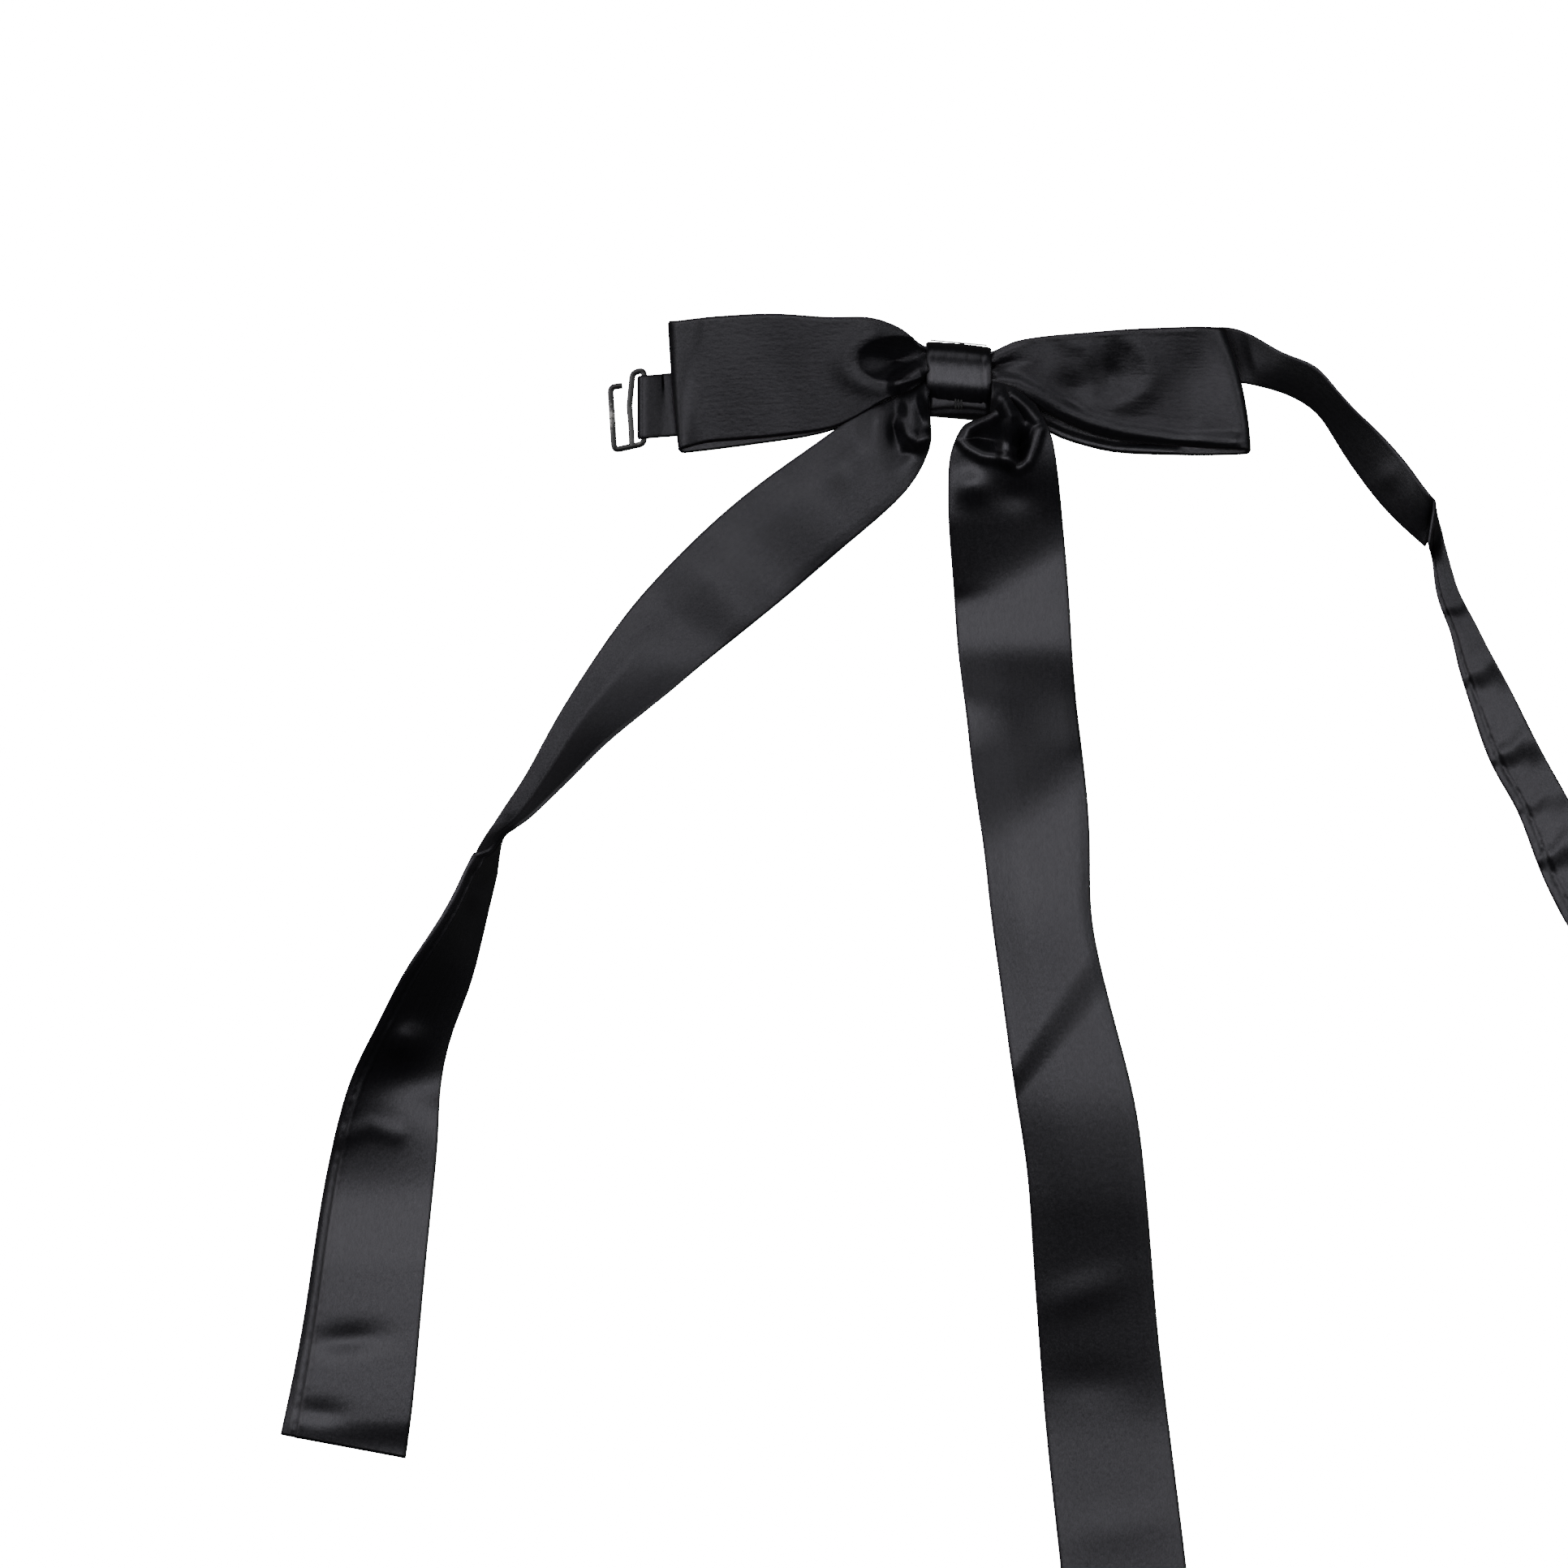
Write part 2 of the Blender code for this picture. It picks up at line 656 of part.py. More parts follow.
def set_pivots():
    hang(HOOK_BAR, "hook")
    hang(middle(TAIL_LEFT_HINGE, TAIL_THICK), "tail_left")
    hang(middle(TAIL_RIGHT_HINGE, TAIL_THICK), "tail_right")
    hang((BAND_HINGE_X, band_centre(BAND_HINGE_X), BAND_THICK), "neck_band_outer", "band_run")
    hang((RUN_X, SLIDER_Y, BAR_HEIGHT), "slider", "slider_end_band", "slider_end_stitch")
    hang((RUN_X, RING_Y, RING_BAR_HEIGHT), "band_bight", "band_return", "eye_ring")


def main():
    for found in list(bpy.data.objects):
        bpy.data.objects.remove(found)
    knot_band()
    gathered_core("bow_core", 10.6, 3.5, 2.3)
    gathered_core("tail_core", 4.6, 1.9, 1.2)
    cinch_thread()
    knot_stitch()
    wings()
    tail_roots()
    tails()
    band_inner()
    band_outer()
    band_runs()
    end_stitches()
    hook()
    slider()
    eye_ring()
    set_pivots()


main()
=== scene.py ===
import json
import math

import bpy
import numpy as np
from mathutils import Matrix, Vector


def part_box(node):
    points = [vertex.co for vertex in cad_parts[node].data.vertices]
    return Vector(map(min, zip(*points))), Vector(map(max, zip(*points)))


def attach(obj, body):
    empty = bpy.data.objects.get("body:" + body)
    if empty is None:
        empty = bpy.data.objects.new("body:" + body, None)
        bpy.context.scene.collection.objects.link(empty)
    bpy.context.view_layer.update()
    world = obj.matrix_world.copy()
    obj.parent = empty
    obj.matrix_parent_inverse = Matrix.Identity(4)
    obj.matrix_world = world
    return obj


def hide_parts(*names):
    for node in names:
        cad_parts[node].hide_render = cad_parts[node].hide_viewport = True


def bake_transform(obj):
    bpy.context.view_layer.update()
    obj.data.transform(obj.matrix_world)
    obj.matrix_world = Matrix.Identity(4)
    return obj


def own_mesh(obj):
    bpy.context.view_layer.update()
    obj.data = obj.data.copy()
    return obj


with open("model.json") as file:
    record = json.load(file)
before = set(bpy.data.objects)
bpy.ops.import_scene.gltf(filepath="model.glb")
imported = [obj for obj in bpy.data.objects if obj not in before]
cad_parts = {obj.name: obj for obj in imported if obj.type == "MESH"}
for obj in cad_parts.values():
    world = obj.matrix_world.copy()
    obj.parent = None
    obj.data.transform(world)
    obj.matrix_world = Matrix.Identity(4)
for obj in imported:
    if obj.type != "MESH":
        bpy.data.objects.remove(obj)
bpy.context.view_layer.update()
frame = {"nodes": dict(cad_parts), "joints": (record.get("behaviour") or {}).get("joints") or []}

# The bow tie's fabric and metal as they look. The shapes are in millimetres in the CAD's frame:
# the knot is over the origin, +X runs along the bow away from the hook, the tails run towards -Y
# and the table is z = 0. MM turns them into metres. Looks, lights and camera are in metres.

MM = 0.001

RIBBON_WIDTH = 35.5  # bow and tails, pressed flat
RIBBON_THICK = 0.95
TAIL_THICK = 1.3
BAND_WIDTH = 15.5
BAND_HOOK_WIDTH = 17.6
BAND_THICK = 0.8

HINGES = {joint["name"]: joint for joint in frame["joints"]}
HOOK_AXIS = Vector(HINGES["hook_swing"]["pos_m"]) / MM
RING_AXIS = Vector(HINGES["ring_swing"]["pos_m"]) / MM


# ---------------------------------------------------------------- curves


def through(points, count):
    """count points, evenly spaced, on a natural cubic spline through points."""
    points = np.asarray(points, float)
    steps = np.linalg.norm(np.diff(points[:, : min(points.shape[1], 3)], axis=0), axis=1)
    knots = np.concatenate([[0.0], np.cumsum(np.maximum(steps, 1e-6) ** 0.75)])
    gaps = np.diff(knots)
    size = len(points)
    matrix = np.eye(size)
    right = np.zeros_like(points)
    for i in range(1, size - 1):
        matrix[i, i - 1 : i + 2] = gaps[i - 1], 2 * (gaps[i - 1] + gaps[i]), gaps[i]
        slopes = np.diff(points[i - 1 : i + 2], axis=0) / gaps[i - 1 : i + 1, None]
        right[i] = 6 * (slopes[1] - slopes[0])
    second = np.linalg.solve(matrix, right)
    at = np.linspace(0, 1, count) * knots[-1]
    k = np.clip(np.searchsorted(knots, at, side="right") - 1, 0, size - 2)
    b, a = (at - knots[k])[:, None], (knots[k + 1] - at)[:, None]
    h = gaps[k][:, None]
    return (
        second[k] * a**3 / (6 * h)
        + second[k + 1] * b**3 / (6 * h)
        + (points[k] / h - second[k] * h / 6) * a
        + (points[k + 1] / h - second[k + 1] * h / 6) * b
    )


def ease(value, low, high):
    """0 before low, 1 after high, smooth between."""
    t = np.clip((value - low) / (high - low), 0, 1)
    return t * t * (3 - 2 * t)


def mound(x, y, centre, reach, turn=0.0):
    """A round hill of height 1: reach is its two radii, and turn its angle in degrees."""
    c, s = math.cos(math.radians(turn)), math.sin(math.radians(turn))
    dx, dy = x - centre[0], y - centre[1]
    along, across = (dx * c + dy * s) / reach[0], (dy * c - dx * s) / reach[1]
    return np.exp(-(along**2 + across**2))


def crease(x, y, points, reach):
    """A rounded ridge of height 1 along a line of points, reach to each side."""
    nearest = np.full_like(x, 1e9)
    for (ax, ay), (bx, by) in zip(points[:-1], points[1:]):
        length = (bx - ax) ** 2 + (by - ay) ** 2
        t = np.clip(((x - ax) * (bx - ax) + (y - ay) * (by - ay)) / length, 0, 1)
        nearest = np.minimum(nearest, (x - ax - t * (bx - ax)) ** 2 + (y - ay - t * (by - ay)) ** 2)
    return np.exp(-nearest / reach**2)


def ripple(x, y, centre, reach, height):
    """A low wave over a strip: it faces -Y at its centre and levels out to both sides."""
    beyond = x - centre[0]
    u = (centre[1] - y + 0.3 * beyond + 0.5 * np.sin(beyond)) / (reach * (1 + 0.09 * np.clip(beyond, -8, 8)))
    return -height * u * np.exp(-(u**2)) * ease(beyond, -9, -2)


# ---------------------------------------------------------------- cloth


def lengths(grid):
    """How far along its cloth each point of a grid is, in millimetres."""
    steps = np.linalg.norm(np.diff(grid, axis=0), axis=2).mean(axis=1)
    return np.concatenate([[0.0], np.cumsum(steps)])


def grid_normals(grid):
    along = np.gradient(grid, axis=0)
    across = np.gradient(grid, axis=1)
    out = np.cross(across, along)
    return out / np.maximum(np.linalg.norm(out, axis=2, keepdims=True), 1e-9)


def cloth(name, grid, thick, width, material, seams=()):
    """A pressed tube of cloth round a grid of points, rows along it and columns across it.

    Each seam is (place across, height, reach) of a line that stands up from the front; a height
    below 0 sinks it. UVs are in decimetres of cloth, along and across.
    """
    rows, columns = grid.shape[:2]
    v = np.linspace(0, 1, columns)
    edge = np.minimum(v, 1 - v) * width
    half = thick / 2 * np.sqrt(np.clip(1 - (1 - np.clip(edge / (thick * 0.8), 0, 1)) ** 2, 0, 1))
    out = grid_normals(grid)
    pucker = 1 + 0.3 * np.sin(lengths(grid) * 1.9) * np.sin(lengths(grid) * 0.37 + 1)
    relief = np.zeros(grid.shape[:2])
    for place, height, reach in seams:
        relief += pucker[:, None] * height * np.exp(-(((v - place) * width / reach) ** 2))
    front = grid + out * (half + relief)[:, :, None]
    back = grid - out * half[None, :, None]
    ring = np.concatenate([front, back[:, -2:0:-1]], axis=1)
    size = ring.shape[1]
    faces = []
    for i in range(rows - 1):
        for j in range(size):
            n = (j + 1) % size
            faces.append((i * size + j, i * size + n, (i + 1) * size + n, (i + 1) * size + j))
    for i, flip in ((0, True), (rows - 1, False)):
        for j in range(columns - 1):
            below = [(size - k) % size if 0 < k < columns - 1 else k for k in (j, j + 1)]
            quad = [i * size + k for k in (j, j + 1, below[1], below[0])]
            quad = list(dict.fromkeys(quad))
            faces.append(tuple(quad[::-1] if flip else quad))
    mesh = bpy.data.meshes.new(name)
    mesh.from_pydata((ring.reshape(-1, 3) * MM).tolist(), [], faces)
    mesh.validate()
    face_up(mesh)
    along = lengths(grid) / 100
    across = v * width / 100
    across = np.concatenate([across, across[-1] + (v[-1] - v[-2:0:-1]) * width / 100])
    layer = mesh.uv_layers.new(name="UVMap")
    spots = np.empty(len(mesh.loops), dtype=np.int64)
    mesh.loops.foreach_get("vertex_index", spots)
    uv = np.stack([along[spots // size], across[spots % size]], axis=1)
    layer.data.foreach_set("uv", uv.ravel())
    mesh.shade_smooth()
    piece = bpy.data.objects.new(name, mesh)
    bpy.context.scene.collection.objects.link(piece)
    mesh.materials.append(material)
    return piece


def face_up(mesh):
    """Turns a closed mesh's faces outwards."""
    corners = np.array([v.co for v in mesh.vertices])
    volume = 0.0
    for face in mesh.polygons:
        a, b, c = (corners[k] for k in face.vertices[:3])
        volume += np.dot(a, np.cross(b, c))
        if len(face.vertices) == 4:
            d = corners[face.vertices[3]]
            volume += np.dot(a, np.cross(c, d))
    if volume < 0:
        mesh.flip_normals()


def rolled(stations, rows, columns, width, low, lift=None):
    """A grid for a ribbon that lies, rolls over and lies again.

    Each station is (left x, left y, right x, right y, roll, first margin, last margin, cup):
    the two sides of its outline seen from above, then in degrees how far it has rolled over its
    first edge, how much further each margin bends, and how much its middle is cupped.
    """
    table = through(stations, rows)
    v = np.linspace(0, 1, columns)
    step = width / (columns - 1)
    middle = (v[1:] + v[:-1]) / 2
    grid = np.empty((rows, columns, 3))
    for i, (lx, ly, rx, ry, roll, first, last, cup) in enumerate(table):
        bend = first * (1 - ease(middle, 0.24, 0.46)) + last * ease(middle, 0.84, 0.93)
        angle = np.radians(roll + bend + cup * np.cos(math.pi * middle))
        a = np.concatenate([[0.0], np.cumsum(np.cos(angle) * step)])
        z = np.concatenate([[0.0], np.cumsum(np.sin(angle) * step)])
        share = (a - a.min()) / max(a.max() - a.min(), 1e-6)
        grid[i, :, 0] = lx + (rx - lx) * share
        grid[i, :, 1] = ly + (ry - ly) * share
        grid[i, :, 2] = z
    # Every row is lifted clear of the table, and the lift is evened out along the ribbon.
    rise = -grid[:, :, 2].min(axis=1)
    reach = 9
    beside = np.pad(rise, reach, mode="edge")
    rise = np.max([beside[k : k + rows] for k in range(2 * reach + 1)], axis=0)
    weight = np.hanning(2 * reach + 3)[1:-1]
    rise = np.convolve(np.pad(rise, reach, mode="edge"), weight / weight.sum(), mode="valid")
    grid[:, :, 2] += rise[:, None] + low
    if lift is not None:
        height = lift(grid[:, :, 0], grid[:, :, 1], v[None, :])
        grid[:, :, 2] += (height + np.sqrt(height**2 + 0.15)) / 2 - 0.1
    return grid


def between(first_edge, second_edge, rows, columns, height):
    """A grid between two edges seen from above, with height(x, y, v, s) giving its z."""
    a, b = through(first_edge, rows), through(second_edge, rows)
    v = np.linspace(0, 1, columns)[None, :, None]
    flat = a[:, None, :] * (1 - v) + b[:, None, :] * v
    s = np.linspace(0, 1, rows)[:, None]
    x, y = flat[:, :, 0], flat[:, :, 1]
    z = height(x, y, v[:, :, 0], s)
    return np.stack([x, y, z], axis=2)


# ---------------------------------------------------------------- materials


class Nodes:
    """A short way to write a node material."""

    def __init__(self, name):
        self.material = bpy.data.materials.new(name)
        self.material.use_nodes = True
        self.tree = self.material.node_tree
        self.shader = self.tree.nodes["Principled BSDF"]

    def add(self, kind, **values):
        node = self.tree.nodes.new(kind)
        for key, value in values.items():
            if key in node.inputs:
                node.inputs[key].default_value = value
            else:
                setattr(node, key, value)
        return node

    def link(self, source, target):
        self.tree.links.new(source, target)

    def maths(self, operation, a, b=None):
        node = self.add("ShaderNodeMath", operation=operation)
        for socket, value in zip(node.inputs, (a, b)):
            if value is None:
                continue
            if isinstance(value, (int, float)):
                socket.default_value = value
            else:
                self.link(value, socket)
        return node.outputs[0]

    def ramp(self, source, stops):
        node = self.add("ShaderNodeValToRGB")
        ramp = node.color_ramp
        while len(ramp.elements) < len(stops):
            ramp.elements.new(0.5)
        for element, (place, colour) in zip(ramp.elements, stops):
            element.position = place
            element.color = (*colour, 1)
        self.link(source, node.inputs[0])
        return node.outputs[0]


def satin(name, colour, roughness=0.38, turn=0.25):
    """Black satin: long warp floats, a fine grain along the cloth and a few slubs.

    UVs are in decimetres, so a frequency of 100 repeats every millimetre.
    """
    m = Nodes(name)
    uv = m.add("ShaderNodeUVMap", uv_map="UVMap")
    along, across = 9.0, 95.0

    def noise(u, w, scale, detail, rough=0.5):
        stretch = m.add("ShaderNodeMapping")
        stretch.inputs["Scale"].default_value = (u, w, 1)
        m.link(uv.outputs[0], stretch.inputs["Vector"])
        node = m.add("ShaderNodeTexNoise", Scale=scale, Detail=detail, Roughness=rough)
        m.link(stretch.outputs[0], node.inputs["Vector"])
        return node.outputs["Fac"]

    grain = noise(along * 3.2, across * 1.3, 1.0, 3.0, 0.6)
    mottle = noise(62, 88, 1.0, 4.0, 0.7)
    slub = noise(along * 0.35, across * 0.8, 1.0, 1.0)
    ribs = m.add("ShaderNodeTexWave", wave_type="BANDS", bands_direction="Y", Scale=1.0)
    ribs.inputs["Distortion"].default_value = 1.2
    stretch = m.add("ShaderNodeMapping")
    stretch.inputs["Scale"].default_value = (30, 210, 1)
    m.link(uv.outputs[0], stretch.inputs["Vector"])
    m.link(stretch.outputs[0], ribs.inputs["Vector"])
    height = m.maths("ADD", m.maths("MULTIPLY", grain, 0.5), m.maths("MULTIPLY", mottle, 0.6))
    height = m.maths("ADD", height, m.maths("MULTIPLY", ribs.outputs["Fac"], 0.12))
    height = m.maths("ADD", height, m.maths("MULTIPLY", slub, 0.25))
    bump = m.add("ShaderNodeBump", Strength=0.7, Distance=0.00014)
    m.link(height, bump.inputs["Height"])
    m.link(bump.outputs[0], m.shader.inputs["Normal"])
    dark = tuple(c * 0.72 for c in colour)
    light = tuple(c * 1.35 for c in colour)
    shade = m.ramp(m.maths("ADD", m.maths("MULTIPLY", mottle, 0.6), m.maths("MULTIPLY", slub, 0.4)),
                   [(0.36, dark), (0.52, colour), (0.68, light)])
    m.link(shade, m.shader.inputs["Base Color"])
    spread = m.add("ShaderNodeMapRange")
    spread.inputs["To Min"].default_value = roughness - 0.11
    spread.inputs["To Max"].default_value = roughness + 0.13
    m.link(m.maths("ADD", m.maths("MULTIPLY", mottle, 0.6), m.maths("MULTIPLY", grain, 0.4)),
           spread.inputs["Value"])
    m.link(spread.outputs[0], m.shader.inputs["Roughness"])
    m.shader.inputs["Specular IOR Level"].default_value = 0.5
    m.shader.inputs["Specular Tint"].default_value = (0.92, 0.90, 1.0, 1)
    floats = m.add("ShaderNodeTangent", direction_type="UV_MAP", uv_map="UVMap")
    m.link(floats.outputs[0], m.shader.inputs["Tangent"])
    m.shader.inputs["Anisotropic"].default_value = 0.55
    m.shader.inputs["Anisotropic Rotation"].default_value = turn
    m.shader.inputs["Sheen Weight"].default_value = 0.004
    m.shader.inputs["Sheen Roughness"].default_value = 0.4
    return m.material


def thread_material():
    """Matt thread with its twist showing."""
    m = Nodes("sewing_thread_look")
    place = m.add("ShaderNodeTexCoord")
    twist = m.add("ShaderNodeTexWave", wave_type="BANDS", bands_direction="DIAGONAL", Scale=900.0)
    twist.inputs["Distortion"].default_value = 0.6
    m.link(place.outputs["Object"], twist.inputs["Vector"])
    bump = m.add("ShaderNodeBump", Strength=0.5, Distance=0.00008)
    m.link(twist.outputs["Fac"], bump.inputs["Height"])
    m.link(bump.outputs[0], m.shader.inputs["Normal"])
    m.link(m.ramp(twist.outputs["Fac"], [(0.2, (0.004, 0.004, 0.005)), (0.8, (0.02, 0.02, 0.022))]),
           m.shader.inputs["Base Color"])
    m.shader.inputs["Roughness"].default_value = 0.65
    return m.material


def enamel():
    """Gloss black enamel on steel wire, with the steel showing where it has rubbed."""
    m = Nodes("black_enamel_look")
    place = m.add("ShaderNodeTexCoord")
    wear = m.add("ShaderNodeTexNoise", Scale=260.0, Detail=6.0, Roughness=0.7)
    m.link(place.outputs["Object"], wear.inputs["Vector"])
    broad = m.add("ShaderNodeTexNoise", Scale=70.0, Detail=2.0, Roughness=0.5)
    m.link(place.outputs["Object"], broad.inputs["Vector"])
    mask = m.maths("MULTIPLY", wear.outputs["Fac"], broad.outputs["Fac"])
    worn = m.ramp(mask, [(0.31, (0, 0, 0)), (0.38, (1, 1, 1))])
    # A colour mix's sockets go by number: 0 is its share, 6 and 7 its two colours, 2 its result.
    mix = m.add("ShaderNodeMix", data_type="RGBA")
    mix.inputs[6].default_value = (0.010, 0.010, 0.011, 1)
    mix.inputs[7].default_value = (0.22, 0.215, 0.21, 1)
    m.link(worn, mix.inputs[0])
    m.link(mix.outputs[2], m.shader.inputs["Base Color"])
    m.link(worn, m.shader.inputs["Metallic"])
    rough = m.add("ShaderNodeMapRange")
    rough.inputs["To Min"].default_value = 0.2
    rough.inputs["To Max"].default_value = 0.4
    m.link(wear.outputs["Fac"], rough.inputs["Value"])
    m.link(rough.outputs[0], m.shader.inputs["Roughness"])
    bump = m.add("ShaderNodeBump", Strength=0.3, Distance=0.00005)
    m.link(wear.outputs["Fac"], bump.inputs["Height"])
    m.link(bump.outputs[0], m.shader.inputs["Normal"])
    return m.material


RIBBON = satin("ribbon_satin_look", (0.0042, 0.0040, 0.0050))
WING = satin("wing_satin_look", (0.0042, 0.0040, 0.0050), roughness=0.31, turn=0.0)
KNOT = satin("knot_satin_look", (0.0040, 0.0038, 0.0048), roughness=0.35)
BAND = satin("band_satin_look", (0.0042, 0.0040, 0.0048), roughness=0.38)
THREAD = thread_material()
ENAMEL = enamel()
# A sunk line of stitching with the cloth a little raised to both sides of it.
BAND_SEAM = [(0.81, -0.42, 0.75), (0.74, 0.16, 0.7), (0.88, 0.12, 0.7)]


# ---------------------------------------------------------------- the bow


def wing(name, node, front_edges, back_edges, side, front_height, back_height, bulge):
    """One loop of the bow: the front out to the fold, round it and back underneath."""
    front_rows, back_rows, columns = 130, 60, 61
    front = between(*front_edges, front_rows, columns, front_height)
    back = between(*back_edges, back_rows, columns, back_height)
    v = np.linspace(0, 1, columns)
    front_share = ease(np.linspace(0, 1, front_rows), 0.75, 1.0)[:, None]
    back_share = ease(np.linspace(1, 0, back_rows), 0.75, 1.0)[:, None]
    # The fold swells outwards in its middle, and comes in where front and back are further apart.
    swell = side * bulge * 4 * v * (1 - v)
    front[:, :, 0] += front_share * swell[None, :]
    back[:, :, 0] += back_share * swell[None, :]
    inward = side * (0.31 * (front[-1, :, 2] - back[0, :, 2]) - 1.5)
    front[:, :, 0] -= front_share * inward[None, :]
    back[:, :, 0] -= back_share * inward[None, :]
    start, end = front[-1], back[0]
    turn = []
    for angle in np.linspace(0, math.pi, 12)[1:-1]:
        middle, half = (start + end) / 2, (start - end) / 2
        reach = np.abs(half[:, 2:3]) * np.array([[side * 0.9, 0, 0]])
        turn.append(middle + half * math.cos(angle) + reach * math.sin(angle))
    grid = np.concatenate([front, np.array(turn), back])
    # Rows near the middle of the fold are evened out, so that it has no edge to either side.
    fold_row = front_rows + 4
    weight = np.exp(-(((np.arange(len(grid)) - fold_row) / 6.0) ** 2))[1:-1, None, None] * 0.5
    for _ in range(12):
        grid[1:-1] += weight * ((grid[:-2] + grid[2:]) / 2 - grid[1:-1])
    piece = cloth(name, grid, RIBBON_THICK, RIBBON_WIDTH, WING, seams=[(0.035, 0.08, 0.6)])
    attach(piece, "bow")
    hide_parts(node)
    return piece


def pleats(v, s, folds, depth, reach):
    """Ripples across the cloth that fade out over reach, as a share of its length."""
    return depth * np.cos(2 * math.pi * folds * v) * (1 - ease(s, 0.0, reach))


def left_wing():
    def front(x, y, v, s):
        tilt = (0.265 + 0.03 * ease(-x, 76, 36) - 0.15 * ease(-x, 70, 79)) * ease(-x, 9, 26)
        z = 12.4 - 3.8 * ease(-x, 12, 76) + tilt * (y - 1) - 0.8 * ease(-x, 72, 79) ** 2
        far = np.hypot((x + 17.4) / 10.4, (y - 6.3 - 0.05 * (x + 17.4)) / 6.1)
        z -= 7.4 * np.clip(1.05 - far, 0, 1) ** 0.85 * ease(-x, 8.2, 11)
        z += 0.5 * np.exp(-(((far - 1.34) / 0.36) ** 2)) * ease(-x, 12, 22)
        z += 4.0 * crease(x, y, [(-8, 4.4), (-11, 3.4), (-14, 1.6), (-17, -0.6)], 1.9)
        z += 0.3 * mound(x, y, (-62, 3), (6, 14)) - 0.25 * mound(x, y, (-48, 0), (5, 14), 8)
        return z + pleats(v, s, 2.5, 0.6, 0.05)

    def back(x, y, v, s):
        return 6.4 - 3.3 * ease(-x, 8.6, 16) + 0.15 * np.sin(9 * v + x * 0.12)

    wing(
        "bow_wing_left",
        "wing_left",
        (
            [(-8.6, 9.7), (-10.4, 10.3), (-14.0, 13.4), (-18.5, 16.0), (-25, 17.8), (-34, 17.9),
             (-43, 18.4), (-52, 18.9), (-62.8, 18.5), (-72, 17.8), (-78.4, 17.1)],
            [(-8.6, 1.0), (-10.6, -0.4), (-13.5, -2.4), (-19.4, -4.5), (-26, -8.2), (-35, -12.6),
             (-44, -14.2), (-53, -15.2), (-62.8, -16.0), (-70.5, -16.9), (-75.6, -18.4)],
        ),
        (
            [(-78.4, 17.1), (-65, 16.8), (-45, 15.5), (-27, 11.5), (-17, 9.0), (-8.6, 7.5)],
            [(-75.6, -19.6), (-66, -18.4), (-50, -16.2), (-35, -13.2), (-20, -6.5), (-8.6, -1.5)],
        ),
        -1,
        front,
        back,
        0.3,
    )


def right_wing():
    def front(x, y, v, s):
        z = 12.4 - 3.6 * ease(x, 14, 74) + (0.28 - 0.2 * ease(x, 64, 77)) * (y - 0.5) * ease(x, 10, 30)
        z -= 1.4 * mound(x, y, (41.0, 1.4), (4.4, 5.2), 10)
        z -= 1.1 * mound(x, y, (31.0, -2.4), (6.2, 4.6), -18)
        z += 0.4 * crease(x, y, [(28, 12.0), (35.5, 9.4), (37.6, 5.0), (38.5, 2.0)], 2.8)
        z += 0.55 * crease(x, y, [(44, 13.0), (49.0, 10.6), (52.4, 6), (53.4, 2.0), (52.0, -1.8),
                                 (48, -4.6), (43, -6.0), (37.4, -4.6)], 3.4)
        z -= 0.7 * mound(x, y, (64, 3), (5, 9))
        z += 1.6 * crease(x, y, [(10, 0.6), (16, -0.4), (22.4, -3.7), (28.3, -7.2), (35.9, -10.9),
                                 (45.1, -13.4), (60.2, -15.6), (76, -16.4)], 2.2)
        z += 0.8 * crease(x, y, [(9, 6.5), (15, 9.0), (24, 11.0)], 1.4) * (1 - ease(x, 12, 25))
        z -= 0.8 * crease(x, y, [(9, 4.2), (15, 5.6), (24, 7.0)], 1.2) * (1 - ease(x, 12, 25))
        z -= 1.2 * ease(v, 0.94, 1.0) ** 2 * (1 - ease(x, 66, 78))
        return z + pleats(v, s, 3.5, 0.6, 0.06)

    def back(x, y, v, s):
        z = 6.4 - 3.0 * ease(x, 8.6, 22) + 0.15 * np.sin(8 * v - x * 0.1)
        edge = [(17, -7.8), (23, -11.6), (29, -14.4), (35, -16.4), (43, -18.2), (60, -19.2)]
        return z + 1.3 * crease(x, y, edge, 1.3)

    wing(
        "bow_wing_right",
        "wing_right",
        (
            [(8.6, 8.2), (10.2, 8.9), (14.7, 11.0), (19.5, 12.1), (25, 12.8), (32, 13.4),
             (40, 14.1), (50, 14.8), (60, 15.2), (67, 15.4), (71.4, 15.3)],
            [(8.6, -0.6), (10.3, -1.6), (15, -2.8), (19.4, -5.0), (24.9, -8.8), (33.3, -12.9),
             (40, -15.2), (50, -16.8), (60.2, -17.7), (70, -18.3), (78.9, -18.8)],
        ),
        (
            [(71.4, 15.3), (60, 15.0), (44, 13.0), (30, 11.0), (20, 9.0), (8.6, 7.0)],
            [(78.9, -19.9), (66, -20.2), (56, -20.0), (43.2, -19.3), (34.2, -17.3), (28, -15.2),
             (23, -12.6), (16, -8.5), (8.6, -3.5)],
        ),
        1,
        front,
        back,
        1.5,
    )


